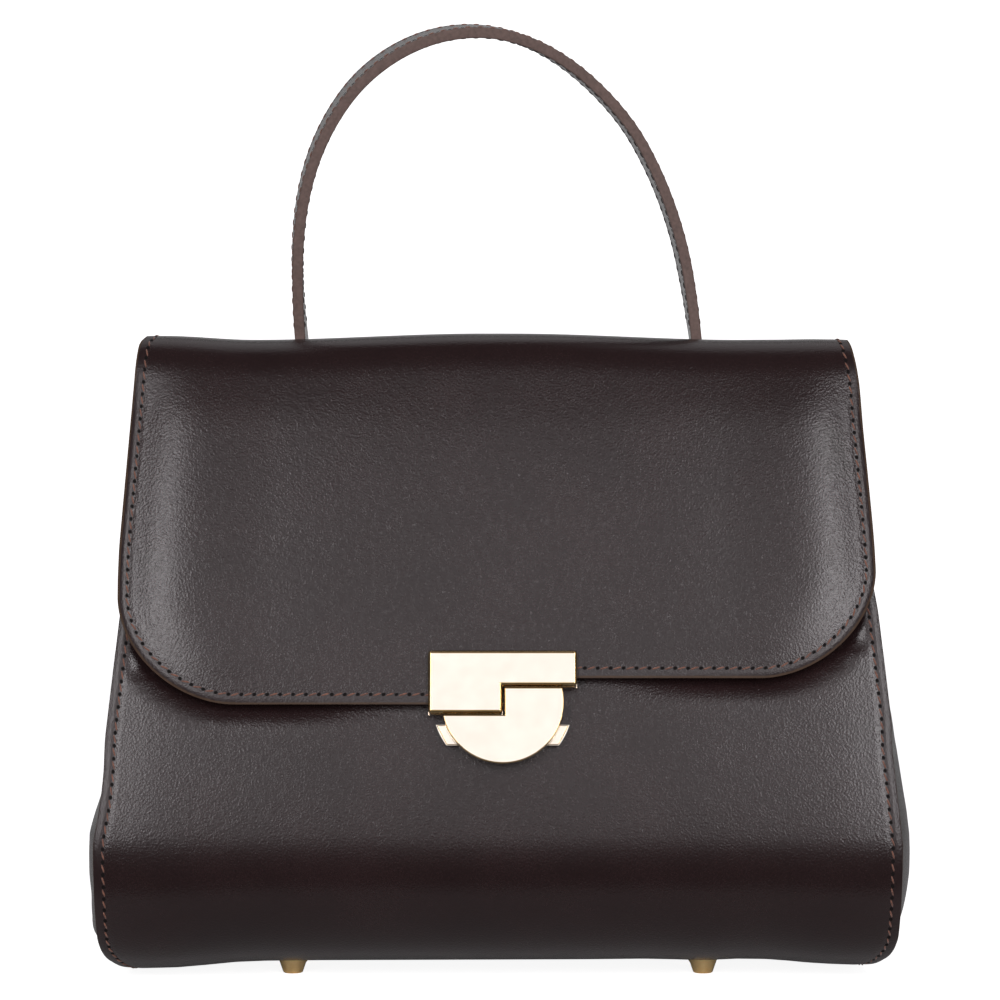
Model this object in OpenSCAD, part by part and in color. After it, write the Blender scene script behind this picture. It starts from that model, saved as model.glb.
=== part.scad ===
// Top handle bag: leather body with domed gussets, a full flap that carries the handle,
// and a stepped two-part lock with a pair of sprung squeeze tabs.
// The origin is on the table under the middle. Front is -Y, right is +X, up is +Z.

/* [Body] */
// Width of the front and back panels where the bag is widest
body_w = 270; // [250:1:300]
// Width of the panels at the mouth
mouth_w = 237; // [225:1:255]
// Depth of the bag where it is deepest
body_d = 124; // [110:1:136]
// Depth of the bag at the mouth
mouth_d = 56; // [50:1:64]
// Height of the panels' top edges above the table
mouth_z = 212.5; // [205:0.5:213]
// Radius of the long front and back corners at the bottom
bottom_r = 44; // [36:1:50]
// How the walls lean in above the deepest level: 1 is straight, more is fuller
belly_power = 1.35; // [1.2:0.05:1.6]
// Radius of the panels' rounded lower corners, seen from the front
panel_corner_r = 16; // [12:1:22]
// How far the panels' lower corners hang below the base
corner_drop = 2.6; // [1:0.1:4]
// How far each gusset domes out past the panels' edges
gusset_dome = 9.2; // [4:0.2:11]
// Height of the middle of that dome
dome_z = 45; // [40:1:50]
// Height over which the dome dies out
dome_span = 120; // [100:1:125]
// How far each gusset tucks in at the mouth
gusset_tuck = 16; // [10:1:20]

/* [Leather] */
// Thickness of the outer leather
leather_t = 1.6; // [1.2:0.1:2]
// Thickness of the stiffening board
board_t = 0.8; // [0.5:0.1:1]
// Thickness of the lining
lining_t = 0.7; // [0.5:0.1:0.9]
// Gap that the glue fills between two layers
glue_gap = 0.1; // [0.05:0.05:0.15]
// Width of the margins that have no board
margin_w = 7; // [5:0.5:9]

/* [Flap] */
// Height of the roof's outer face above the table
roof_z = 220.5; // [219:0.5:224]
// Width of the flap at the roof
flap_top_w = 242; // [230:1:256]
// Width of the flap where it is widest
flap_w = 255; // [245:1:266]
// Height at which the flap is widest
flap_wide_z = 138; // [133:1:150]
// Height of the flap's lower edge on the left of the lock
flap_low_z = 94.8; // [93:0.2:97]
// How much higher the lower edge is on the right of the lock
flap_step = 8.6; // [7:0.2:9]
// Radius of the flap's lower corners
flap_corner_r = 37; // [30:1:42]
// Space between the front panel and the flap
flap_gap = 1.6; // [1.5:0.1:2]
// Radius of the fold at the front of the roof
roof_front_r = 14; // [12:0.5:16]
// Radius of the fold at the back of the roof
roof_back_r = 8; // [7:0.5:10]
// Height of the strip by which the flap is sewn to the back
tail_h = 34; // [24:1:50]

/* [Handle] */
// Distance between the handle's two roots, centre to centre
handle_w = 138; // [120:1:150]
// Height of the handle's centre line above the roof, along its lean
handle_h = 106.5; // [90:0.5:120]
// Lean of the handle towards the front
handle_lean = 8; // [0:0.5:12]
// Width of the strap, front to back
strap_w = 20; // [16:1:24]
// Thickness of the strap
strap_t = 4; // [3.6:0.1:5]
// Length of each strap end turned under the roof
strap_tab_l = 16; // [13:1:20]
// Thickness of the reinforcing tape inside the strap
tape_t = 0.3; // [0.2:0.1:0.5]
// Width of the reinforcing tape
tape_w = 12; // [8:1:14]

/* [Lock] */
// Distance of the lock's centre line to the right of the middle
lock_x = 1.6; // [-4:0.1:4]
// Height of the disc plate's centre on the front panel
lock_z = 95.2; // [94.4:0.2:96]
// Width of the flap plate
plate_w = 49.8; // [46:0.2:54]
// Height of the flap plate's upper bar
plate_bar_h = 11.9; // [10.8:0.1:13]
// Height of the step in the flap plate
plate_step = 9.2; // [8.4:0.1:9.6]
// How far the flap plate's left block reaches below the disc's centre
plate_drop = 3.7; // [3.4:0.1:4.2]
// Thickness of the flap plate
plate_t = 2.4; // [2:0.1:3]
// Radius of the disc plate
disc_r = 20.4; // [19.5:0.1:22]
// Gap between the flap plate and the disc plate
plate_gap = 0.7; // [0.5:0.1:0.9]
// Width of the bevel round both plates
bevel = 0.9; // [0.6:0.1:1.2]
// Radius of the squeeze tabs' outer ends
ear_r = 23.4; // [22.8:0.1:25]
// Height of the squeeze tabs' upper edge below the disc's centre
ear_top = 7.2; // [6.8:0.1:8]
// Height of each squeeze tab's ear
ear_h = 6.8; // [6:0.1:7.2]
// Travel of each squeeze tab
tab_travel = 2; // [1:0.1:2]
// Clearance round the parts that slide in the lock
run_gap = 0.3; // [0.25:0.05:0.35]
// Radius of the lock's screws
screw_r = 1; // [0.8:0.1:1.1]

/* [Feet] */
// Height of the feet
foot_h = 5; // [4:0.5:6]
// Radius of the feet at the leather
foot_top_r = 5; // [4:0.1:6]
// Radius of the feet on the table
foot_low_r = 3.5; // [3:0.1:4.5]
// Distance between the feet, left to right
foot_x = 142; // [110:1:170]
// Distance of the feet's screw heads inside the front and back edges of the flat base
foot_inset = 1; // [0.5:0.1:3]

/* [Hidden] */
$fn = 48;

// Colours of the finishes
chocolate = [0.24, 0.21, 0.215];
lining_tan = [0.55, 0.43, 0.33];
board_grey = [0.62, 0.60, 0.56];
pale_gold = [0.93, 0.80, 0.58];
antique_brass = [0.67, 0.53, 0.33];
steel_grey = [0.62, 0.62, 0.64];

// One overrun for every cut, and the reach of the tools that trim a whole layer
over = 1;
far = body_w;

// Steps of the curves
arc_steps = 8;
wall_steps = 9;
fold_steps = 6;
side_steps = 6;
corner_steps = 8;

// The walls, seen from the side. Below belly_z they follow the long bottom corner,
// above it they lean in towards the mouth.
belly_z = foot_h + bottom_r;
base_half = body_d / 2 - bottom_r;
lean_run = mouth_z - belly_z;
lean_in = (body_d - mouth_d) / 2;
function rise_share(z) = max(z - belly_z, 0) / lean_run;
function wall_half(z) = body_d / 2 - lean_in * pow(rise_share(z), belly_power);
function lean(z) = atan(lean_in * belly_power / lean_run * pow(rise_share(z), belly_power - 1));
function wall_point(z, out) = [wall_half(z) + out * cos(lean(z)), z + out * sin(lean(z))];
function reversed(list) = [for (i = [len(list) - 1:-1:0]) list[i]];

// Side view of one wall, at a distance out from the leather's outer face, from the middle of
// the base to the height top
function wall_line(out, top) = concat([[seam_half, foot_h - out]],
    [for (i = [0:arc_steps]) let (a = 90 * i / arc_steps)
        [base_half + (bottom_r + out) * sin(a), belly_z - (bottom_r + out) * cos(a)]],
    [for (i = [1:wall_steps]) wall_point(belly_z + (top - belly_z) * i / wall_steps, out)]);
seam_half = glue_gap / 2;

// Depth of each layer under the leather's outer face
board_in = leather_t + glue_gap;
lining_in = board_in + board_t + glue_gap;
facing_in = lining_in + lining_t + glue_gap;
facing_h = mouth_d / 2;
layer_top = mouth_z - glue_gap;

// The bag's middle plane lies a little behind the origin, because the lock stands proud
module bag_frame() { translate([0, mid_y, 0]) children(); }

// Extrudes a side view along X
module along_x(width) { rotate([90, 0, 90]) linear_extrude(width, center = true) children(); }
// Extrudes a front view along Y
module along_y(depth) { rotate([90, 0, 0]) linear_extrude(depth, center = true) children(); }

// Front view of the panels: straight sides and rounded lower corners
function side_half(z) = body_w / 2 - (body_w - mouth_w) / 2 * rise_share(z);
corner_z = foot_h - corner_drop;
function corner_half(z) = body_w / 2 - panel_corner_r
    + sqrt(max(pow(panel_corner_r, 2) - pow(max(corner_z + panel_corner_r - z, 0), 2), 0));
function edge_half(z) = z < belly_z ? corner_half(z) : side_half(z);
module panel_outline(inset) {
    right = concat([for (i = [0:corner_steps]) let (a = 90 * i / corner_steps)
            [body_w / 2 - panel_corner_r + (panel_corner_r - inset) * sin(a),
             corner_z + panel_corner_r - (panel_corner_r - inset) * cos(a)]],
        [[side_half(belly_z) - inset, belly_z], [side_half(roof_z) - inset, roof_z]]);
    polygon(concat(right, reversed([for (p = right) [-p[0], p[1]]])));
}

// One layer of a wall, from depth_in below the outer face and thick to the inside
module wall_layer(depth_in, thick, top, inset) {
    intersection() {
        along_x(far * 2)
            polygon(concat(wall_line(-depth_in, top), reversed(wall_line(-depth_in - thick, top))));
        along_y(far * 2) panel_outline(inset);
    }
}
module front_side() { mirror([0, 1, 0]) children(); }

module front_panel() {
    color(chocolate) bag_frame() difference() {
        front_side() wall_layer(0, leather_t, mouth_z, 0);
        lock_windows();
        foot_holes(foot_hole_r);
    }
}

module back_panel() {
    color(chocolate) bag_frame() difference() {
        wall_layer(0, leather_t, mouth_z, 0);
        foot_holes(foot_hole_r);
    }
}

// Gussets: each end of the bag is a leather wall that domes out low down and tucks in at the
// mouth. The outer face is a height field over the side view, on a grid of rows and columns.
rim_in = 1.2;
gusset_rows = 16;
gusset_cols = 12;
rim_rows = 7;
rim_start = 6;
gusset_top = mouth_z - glue_gap;
lining_slack = 0.3;
function swell_share(z) = pow(cos(90 * min(abs(z - dome_z) / dome_span, 1)), 2);
function tuck_share(z) = pow(max(z - dome_z - dome_span, 0) / (mouth_z - dome_z - dome_span), 1.5);
function foot_share(z) = sqrt(1 - pow(max(belly_z - z, 0) / (belly_z - rim_point(0, board_in)[1]), 8));
function rim_half(z) = z < belly_z ? base_half + sqrt(pow(bottom_r - board_in, 2) - pow(belly_z - z, 2))
    : wall_half(z) - board_in / cos(lean(z));
function gusset_x(y, z) = let (s = y / rim_half(z)) edge_half(z) - rim_in + (1 - s * s)
    * ((gusset_dome + rim_in) * swell_share(z) * foot_share(z) - gusset_tuck * tuck_share(z));
// Side view of the gusset's rim at a depth below the panels' outer face
function rim_point(k, depth_in) = k <= rim_rows
    ? let (a = rim_start + (90 - rim_start) * k / rim_rows, r = bottom_r - depth_in)
        [base_half + r * sin(a), belly_z - r * cos(a)]
    : let (z = belly_z + (gusset_top - belly_z) * (k - rim_rows) / (gusset_rows - rim_rows))
        [wall_half(z) - depth_in / cos(lean(z)), z];
function gusset_grid(side, rim_depth, in) = [for (k = [0:gusset_rows], m = [0:gusset_cols])
    let (p = rim_point(k, rim_depth), s = 2 * m / gusset_cols - 1)
        [side * (gusset_x(s * p[0], p[1]) - in), s * p[0], p[1]]];
module height_field(outer, inner, flip) {
    rows = gusset_rows + 1;
    cols = gusset_cols + 1;
    n = rows * cols;
    function at(k, m, layer) = layer * n + k * cols + m;
    tris = concat(
        [for (k = [0:rows - 2], m = [0:cols - 2]) [at(k, m, 0), at(k + 1, m, 0), at(k, m + 1, 0)]],
        [for (k = [0:rows - 2], m = [0:cols - 2]) [at(k + 1, m, 0), at(k + 1, m + 1, 0), at(k, m + 1, 0)]],
        [for (k = [0:rows - 2], m = [0:cols - 2]) [at(k, m, 1), at(k, m + 1, 1), at(k + 1, m, 1)]],
        [for (k = [0:rows - 2], m = [0:cols - 2]) [at(k + 1, m, 1), at(k, m + 1, 1), at(k + 1, m + 1, 1)]],
        [for (m = [0:cols - 2]) [at(0, m, 0), at(0, m + 1, 0), at(0, m, 1)]],
        [for (m = [0:cols - 2]) [at(0, m + 1, 0), at(0, m + 1, 1), at(0, m, 1)]],
        [for (m = [0:cols - 2]) [at(rows - 1, m, 0), at(rows - 1, m, 1), at(rows - 1, m + 1, 0)]],
        [for (m = [0:cols - 2]) [at(rows - 1, m + 1, 0), at(rows - 1, m, 1), at(rows - 1, m + 1, 1)]],
        [for (k = [0:rows - 2]) [at(k, 0, 0), at(k, 0, 1), at(k + 1, 0, 0)]],
        [for (k = [0:rows - 2]) [at(k + 1, 0, 0), at(k, 0, 1), at(k + 1, 0, 1)]],
        [for (k = [0:rows - 2]) [at(k, cols - 1, 0), at(k + 1, cols - 1, 0), at(k, cols - 1, 1)]],
        [for (k = [0:rows - 2]) [at(k + 1, cols - 1, 0), at(k + 1, cols - 1, 1), at(k, cols - 1, 1)]]);
    polyhedron(concat(outer, inner), flip ? [for (t = tris) reversed(t)] : tris);
}
module gusset_skin(side, rim_depth, in, thick) {
    height_field(gusset_grid(side, rim_depth, in), gusset_grid(side, rim_depth, in + thick), side < 0);
}
module gusset(side) {
    color(chocolate) bag_frame() gusset_skin(side, board_in, 0, leather_t);
}
module gusset_lining(side) {
    color(lining_tan) bag_frame()
        gusset_skin(side, facing_in + leather_t + glue_gap, board_in + lining_slack, lining_t);
}
module gusset_left() { gusset(-1); }
module gusset_right() { gusset(1); }
module gusset_lining_left() { gusset_lining(-1); }
module gusset_lining_right() { gusset_lining(1); }

// Boards: the front and back ones stop where the base board starts
layer_inset = rim_in + leather_t + lining_t + margin_w / 2;
module above_base() {
    translate([-far, base_half + glue_gap, 0]) cube([far * 2, body_d, roof_z]);
}
module front_board() {
    color(board_grey) bag_frame() difference() {
        front_side() intersection() {
            wall_layer(board_in, board_t, layer_top, layer_inset);
            above_base();
        }
        lock_pocket();
    }
}
module back_board() {
    color(board_grey) bag_frame() intersection() {
        wall_layer(board_in, board_t, layer_top, layer_inset);
        above_base();
    }
}
module base_board() {
    half = corner_half(foot_h) - layer_inset;
    color(board_grey) bag_frame() difference() {
        translate([-half, -base_half, foot_h + board_in]) cube([2 * half, 2 * base_half, board_t]);
        foot_holes(foot_head_r + glue_gap);
    }
}

// Lining, the leather facings inside the mouth, and the slip pocket
module front_lining() {
    color(lining_tan) bag_frame() difference() {
        front_side() wall_layer(lining_in, lining_t, layer_top, layer_inset);
        lock_pocket();
    }
}
module back_lining() {
    color(lining_tan) bag_frame() wall_layer(lining_in, lining_t, layer_top, layer_inset);
}
module facing() {
    intersection() {
        wall_layer(facing_in, leather_t / 2, layer_top, layer_inset);
        translate([-far, 0, mouth_z - facing_h]) cube([far * 2, body_d, far]);
    }
}
module front_facing() { color(chocolate) bag_frame() front_side() facing(); }
module back_facing() { color(chocolate) bag_frame() facing(); }
pocket_w_share = 0.62;
pocket_low_z = belly_z + bottom_r / 2;
pocket_top_z = mouth_z - facing_h - margin_w;
module slip_pocket() {
    color(lining_tan) bag_frame() intersection() {
        wall_layer(facing_in, lining_t, layer_top, layer_inset);
        translate([-mouth_w * pocket_w_share / 2, 0, pocket_low_z])
            cube([mouth_w * pocket_w_share, body_d, pocket_top_z - pocket_low_z]);
    }
}

// Feet: turned studs, each held by a broad-headed screw under the base board
foot_hole_r = screw_r + glue_gap;
foot_head_t = board_t - glue_gap;
foot_head_r = screw_r * 3;
foot_y = base_half - foot_inset - foot_head_r;
foot_rim = 0.6;
foot_thread = foot_rim * 3;
module at_feet() {
    for (sx = [-1, 1], sy = [-1, 1]) translate([sx * foot_x / 2, sy * foot_y, 0]) children();
}
module foot_holes(r) {
    at_feet() translate([0, 0, foot_h - over]) cylinder(h = board_in + board_t + over * 2, r = r);
}
module feet() {
    seat = foot_h - glue_gap;
    color(antique_brass) bag_frame() at_feet() rotate_extrude() polygon([
        [0, 0], [foot_low_r - foot_rim, 0], [foot_low_r - foot_rim / 3, foot_rim / 3],
        [foot_low_r, foot_rim], [foot_top_r, seat], [foot_hole_r, seat],
        [foot_hole_r, seat - foot_thread], [0, seat - foot_thread]]);
}
module foot_screws() {
    color(steel_grey) bag_frame() at_feet() translate([0, 0, foot_h - foot_thread]) {
        cylinder(h = foot_thread + board_in, r = screw_r);
        translate([0, 0, foot_thread + board_in]) cylinder(h = foot_head_t, r = foot_head_r);
    }
}

// Flap. Its layers, from the outside in: leather with a turned edge, board, lining.
flap_t = leather_t + board_t + lining_t + 2 * glue_gap;
flap_out = flap_gap + flap_t;
turned_t = leather_t + glue_gap + board_t;

// The front fold: the flap's outer face leaves the wall's line and turns onto the roof
lean_top = lean(mouth_z);
front_fold_z = roof_z - roof_front_r * (1 - sin(lean_top));
front_fold_from = wall_point(front_fold_z - flap_out * sin(lean_top), flap_out);
front_fold_c = [front_fold_from[0] - roof_front_r * cos(lean_top), roof_z - roof_front_r];

// The back fold, where the flap hinges. The hinge line is the outer corner of that fold.
tail_out = glue_gap + leather_t;
back_fold_z = roof_z - roof_back_r * (1 - sin(lean_top));
back_fold_from = wall_point(back_fold_z - tail_out * sin(lean_top), tail_out);
back_fold_c = [back_fold_from[0] - roof_back_r * cos(lean_top), roof_z - roof_back_r];
split_angle = (90 + lean_top) / 2;
function fold_arc(c, r, from, to) = [for (i = [0:fold_steps]) let (a = from + (to - from) * i / fold_steps)
    c + r * [cos(a), sin(a)]];

// Side view of the flap at a depth under its outer face: up the front, round the fold, along
// the roof and round the back fold to the split. The front's y is positive here.
function flap_line(in) = concat(
    [for (i = [0:wall_steps]) let (z0 = flap_low_z - margin_w,
            z = z0 + (front_fold_z - flap_out * sin(lean_top) - z0) * i / wall_steps)
        wall_point(z, flap_out - in)],
    fold_arc(front_fold_c, roof_front_r - in, lean_top, 90));
function roof_end(in) = [for (p = fold_arc(back_fold_c, roof_back_r - in, 90, split_angle + split_gap))
    [-p[0], p[1]]];
split_gap = 1.5;
module flap_band(in, thick, to_split) {
    stop = [-back_fold_c[0] + margin_w, roof_z];
    top = concat(flap_line(in), to_split ? roof_end(in) : [[stop[0], stop[1] - in]]);
    low = concat(flap_line(in + thick), to_split ? roof_end(in + thick) : [[stop[0], stop[1] - in - thick]]);
    front_side() along_x(far * 2) polygon(concat(top, reversed(low)));
}

// Front view of the flap: bowed sides, rounded lower corners and the stepped lower edge
function flap_half(z) = flap_w / 2
    - (flap_w - flap_top_w) / 2 * pow((z - flap_wide_z) / (roof_z - flap_wide_z), 2);
function flap_side(low, inset) = concat(
    [for (i = [0:corner_steps]) let (a = 90 * i / corner_steps)
        [flap_w / 2 - flap_corner_r + (flap_corner_r - inset) * sin(a),
         low + flap_corner_r - (flap_corner_r - inset) * cos(a)]],
    [for (i = [1:side_steps]) let (z = flap_wide_z + (roof_z - flap_wide_z) * i / side_steps)
        [flap_half(z) - inset, z]],
    [[flap_half(roof_z) - inset, roof_z + over]]);
module flap_outline(inset) {
    right = flap_side(flap_low_z + flap_step, inset);
    left = flap_side(flap_low_z, inset);
    polygon(concat([[lock_x, flap_low_z + inset], [lock_x, flap_low_z + flap_step + inset]], right,
        reversed([for (p = left) [-p[0], p[1]]])));
}

// Slits where the handle goes through the roof
slit_gap = 0.2;
module at_roots() { for (side = [-1, 1]) translate([side * handle_w / 2, 0, roof_z]) children(); }
module handle_slits() {
    at_roots() translate([-strap_t / 2 - slit_gap, -strap_w / 2 - slit_gap, -flap_t])
        cube([strap_t + 2 * slit_gap, strap_w + 2 * slit_gap, flap_t + over]);
}
module tab_slots() {
    at_roots() translate([-strap_tab_l - strap_t / 2 - slit_gap, -strap_w / 2 - slit_gap, -flap_t])
        cube([2 * (strap_tab_l + strap_t / 2 + slit_gap), strap_w + 2 * slit_gap, flap_t]);
}

module flap_tail() {
    low = mouth_z - tail_h;
    z_top = back_fold_z - tail_out * sin(lean_top);
    function line(out) = [for (i = [0:wall_steps]) wall_point(low + (z_top - low) * i / wall_steps, out)];
    function fold(r) = fold_arc(back_fold_c, r, lean_top, split_angle - split_gap);
    color(chocolate) bag_frame() intersection() {
        along_x(far * 2) polygon(concat(line(tail_out), fold(roof_back_r),
            reversed(fold(roof_back_r - leather_t)), reversed(line(glue_gap))));
        along_y(far * 2) flap_outline(0);
    }
}
module flap_outer() {
    color(chocolate) bag_frame() difference() {
        intersection() {
            flap_band(0, turned_t, true);
            along_y(far * 2) flap_outline(0);
        }
        intersection() {
            flap_band(leather_t, turned_t, false);
            along_y(far * 2) flap_outline(margin_w);
        }
        handle_slits();
        plate_screw_holes();
    }
}
module flap_board() {
    color(board_grey) bag_frame() difference() {
        intersection() {
            flap_band(leather_t + glue_gap, board_t, false);
            along_y(far * 2) flap_outline(margin_w + glue_gap);
            translate([-far, -far + back_fold_c[0] - margin_w - glue_gap, 0]) cube([far * 2, far, far]);
        }
        tab_slots();
        plate_screw_holes();
    }
}
module flap_lining() {
    color(lining_tan) bag_frame() difference() {
        intersection() {
            flap_band(turned_t + glue_gap, lining_t, false);
            along_y(far * 2) flap_outline(glue_gap);
        }
        plate_screw_holes();
    }
}

// Handle: two straps with a tape between them, on one centre line. It rises straight out of the
// roof, then follows shares of half the handle's width and of the height left over, from the left
// root over the top to the right root.
root_h = strap_w / 2 * sin(handle_lean);
root_straight = strap_t + 2 * root_h;
arch_h = handle_h - root_straight;
handle_shares = [[-1, 0], [-1.01, 0.248], [-0.967, 0.498], [-0.859, 0.704], [-0.653, 0.871],
    [-0.287, 0.99], [0.156, 0.951], [0.528, 0.772], [0.785, 0.515], [0.934, 0.235], [1, 0]];
span_steps = 4;
function handle_knot(i) = let (n = len(handle_shares) - 1, p = handle_shares[min(max(i, 0), n)])
    [p[0] * handle_w / 2, roof_z + root_straight + p[1] * arch_h] + (i < 0 || i > n ? [0, -arch_h / n] : [0, 0]);
function handle_at(i, t) = let (a = handle_knot(i - 1), b = handle_knot(i), c = handle_knot(i + 1),
        d = handle_knot(i + 2))
    0.5 * ((2 * b) + (c - a) * t + (2 * a - 5 * b + 4 * c - d) * t * t
        + (3 * b - a - 3 * c + d) * t * t * t);
handle_line = concat([[-handle_w / 2, roof_z]],
    [for (i = [0:len(handle_shares) - 2], k = [0:span_steps - 1]) handle_at(i, k / span_steps)],
    [handle_knot(len(handle_shares) - 1), [handle_w / 2, roof_z]]);
// The centre line moved out by a distance
function handle_offset(out) = let (n = len(handle_line) - 1) [for (i = [0:n])
    let (d = i < 2 ? [0, 1] : i > n - 2 ? [0, -1] : handle_line[i + 1] - handle_line[i - 1],
        u = d / norm(d)) handle_line[i] + out * [-u[1], u[0]]];
module strap_arch(low, high, width) {
    translate([0, 0, roof_z]) rotate([handle_lean, 0, 0]) translate([0, 0, -roof_z])
        along_y(width) polygon(concat(handle_offset(high), reversed(handle_offset(low))));
}
// Each strap end goes down through its slit, and its tab turns along the roof's underside. It is
// pared by the glue's thickness on both faces, so it stands inside the arch's foot.
tab_t = board_t - glue_gap;
tab_top = roof_z - leather_t - glue_gap;
module strap_ends(side_out) {
    thick = strap_t / 2 - tape_t / 2 - 3 * glue_gap;
    near = tape_t / 2 + 2 * glue_gap;
    for (side = [-1, 1]) translate([side * handle_w / 2, -strap_w / 2, tab_top - tab_t]) {
        translate([side * side_out > 0 ? near : -near - thick, 0, 0])
            cube([thick, strap_w, roof_z - tab_top + tab_t + root_h + over]);
        translate([side * side_out > 0 ? near : -near - thick - strap_tab_l, 0, 0])
            cube([thick + strap_tab_l, strap_w, tab_t]);
    }
}
module handle_outer() {
    color(chocolate) bag_frame() {
        strap_arch(tape_t / 2 + glue_gap, strap_t / 2, strap_w);
        strap_ends(1);
    }
}
module handle_inner() {
    color(chocolate) bag_frame() {
        strap_arch(-strap_t / 2, -tape_t / 2 - glue_gap, strap_w);
        strap_ends(-1);
    }
}
module handle_tape() { color(board_grey) bag_frame() strap_arch(-tape_t / 2, tape_t / 2, tape_w); }

// Lock. Its own frame lies on the front panel at the disc's centre: x to the right, y up along
// the leather and z out of it. All its levels below are heights in that frame.
lock_tilt = lean(lock_z);
module lock_frame() {
    translate([lock_x, -wall_half(lock_z), lock_z]) rotate([90 - lock_tilt, 0, 0]) children();
}
// How far the curved leather falls away behind a flat part of the lock
seat_sag = 0.35;
face_z = flap_out + glue_gap + plate_t;
lock_reach = wall_half(lock_z) + face_z * cos(lock_tilt) + disc_r * sin(lock_tilt);
mid_y = (lock_reach - body_d / 2) / 2;
base_t = 1;
tab_low = glue_gap + base_t + run_gap;
tab_thick = 1.6;
disc_back = tab_low + tab_thick + run_gap;
clamp_low = run_gap;
clamp_t = flap_gap - seat_sag - clamp_low;

// Cuts the bevel along each edge of an outline that runs clockwise, on the face at height z
module bevel_edges(points, z) {
    n = len(points);
    for (i = [0:n - 1]) {
        edge = points[(i + 1) % n] - points[i];
        translate([points[i][0], points[i][1], z]) rotate([90, 0, 90 + atan2(edge[1], edge[0])])
            linear_extrude(norm(edge))
                polygon([[-bevel - over, over], [over, -bevel - over], [over, over]]);
    }
}

// Flap plate: an L that runs clockwise from its lower left corner
plate_points = [[-plate_w / 2, -plate_drop], [-plate_w / 2, plate_step + plate_bar_h - plate_drop],
    [plate_w / 2, plate_step + plate_bar_h - plate_drop], [plate_w / 2, plate_step - plate_drop],
    [0, plate_step - plate_drop], [0, -plate_drop]];
plate_screw_shares = [[-0.4, 0.2], [-0.4, 0.8], [0.4, 0.8], [-0.12, 0.2]];
plate_h = plate_step + plate_bar_h;
module at_plate_screws() {
    for (p = plate_screw_shares) translate([p[0] * plate_w, p[1] * plate_h - plate_drop, 0]) children();
}
plate_thread = plate_t / 2;
module plate_screw_holes() {
    lock_frame() at_plate_screws() cylinder(h = face_z, r = screw_r + glue_gap);
}
module lock_plate() {
    color(pale_gold) bag_frame() lock_frame() difference() {
        translate([0, 0, flap_out + glue_gap]) linear_extrude(plate_t) polygon(plate_points);
        bevel_edges(plate_points, face_z);
        at_plate_screws() cylinder(h = flap_out + plate_thread + 2 * glue_gap, r = screw_r + glue_gap);
    }
}
module lock_plate_screws() {
    color(steel_grey) bag_frame() lock_frame() at_plate_screws()
        translate([0, 0, clamp_low]) cylinder(h = flap_out + plate_thread - clamp_low, r = screw_r);
}

// Clamp plate behind the flap, with the tongue that enters the front panel's window
tongue_w = 7;
tongue_h = 4.5;
tongue_low = 9.2;
notch = 0.8;
arm_t = 1;
arm_w = 2.5;
case_top = -leather_t - seat_sag;
level_a = case_top - run_gap;
level_b = level_a - arm_t - run_gap;
tongue_end = level_b - arm_t - run_gap;
module tongue_notch(side, level) {
    translate([side > 0 ? tongue_w / 2 - notch : -tongue_w / 2 - over, tongue_low - over, level - arm_t - run_gap / 2])
        cube([notch + over, tongue_h + 2 * over, arm_t + run_gap]);
}
module lock_clamp() {
    color(pale_gold) bag_frame() lock_frame() difference() {
        union() {
            translate([0, 0, clamp_low]) linear_extrude(clamp_t) polygon(plate_points);
            translate([-tongue_w / 2, tongue_low, tongue_end]) cube([tongue_w, tongue_h, clamp_low - tongue_end]);
        }
        tongue_notch(1, level_a);
        tongue_notch(-1, level_b);
        at_plate_screws() cylinder(h = face_z, r = screw_r + glue_gap);
    }
}

// Disc plate: a disc cut off along the flap plate's stepped edge. It stands on a skirt that
// leaves the squeeze tabs their way out, and on bosses for its screws.
skirt_t = 1.5;
boss_r = 2.2;
disc_screw_places = [[-disc_r * 0.2, -disc_r * 0.81], [disc_r * 0.2, -disc_r * 0.81], [disc_r * 0.69, -disc_r * 0.12]];
module disc_shape(inset) {
    intersection() {
        circle(disc_r - inset, $fn = 96);
        polygon([[-disc_r - over, -disc_r - over], [-disc_r - over, -plate_drop - plate_gap - inset],
            [plate_gap + inset, -plate_drop - plate_gap - inset],
            [plate_gap + inset, plate_step - plate_drop - plate_gap - inset],
            [disc_r + over, plate_step - plate_drop - plate_gap - inset], [disc_r + over, -disc_r - over]]);
    }
}
module ear_band(gap, half) {
    translate([-half, -ear_top - ear_h - gap, -far]) cube([2 * half, ear_h + 2 * gap, 2 * far]);
}
module at_disc_screws() { for (p = disc_screw_places) translate([p[0], p[1], 0]) children(); }
module lock_disc() {
    step_low = -plate_drop - plate_gap;
    step_high = step_low + plate_step;
    left_end = sqrt(pow(disc_r, 2) - pow(step_low, 2));
    right_end = sqrt(pow(disc_r, 2) - pow(step_high, 2));
    color(pale_gold) bag_frame() lock_frame() difference() {
        union() {
            intersection() {
                translate([0, 0, disc_back]) linear_extrude(face_z - disc_back) disc_shape(0);
                union() {
                    cylinder(h = face_z - bevel, r = disc_r, $fn = 96);
                    translate([0, 0, face_z - bevel]) cylinder(h = bevel, r1 = disc_r, r2 = disc_r - bevel, $fn = 96);
                }
            }
            difference() {
                translate([0, 0, glue_gap * 2 + base_t]) linear_extrude(disc_back - base_t - glue_gap)
                    difference() {
                        disc_shape(0);
                        disc_shape(skirt_t);
                    }
                ear_band(run_gap, disc_r + over);
            }
            at_disc_screws() translate([0, 0, glue_gap * 2 + base_t])
                cylinder(h = disc_back - base_t - glue_gap, r = boss_r);
        }
        intersection() {
            bevel_edges([[-left_end, step_low], [plate_gap, step_low], [plate_gap, step_high],
                [right_end + over, step_high]], face_z);
            translate([-disc_r, step_low - bevel, 0]) cube([2 * disc_r, plate_step + bevel + over, face_z + over]);
        }
        at_disc_screws() cylinder(h = face_z - plate_t, r = screw_r + glue_gap);
    }
}

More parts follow.
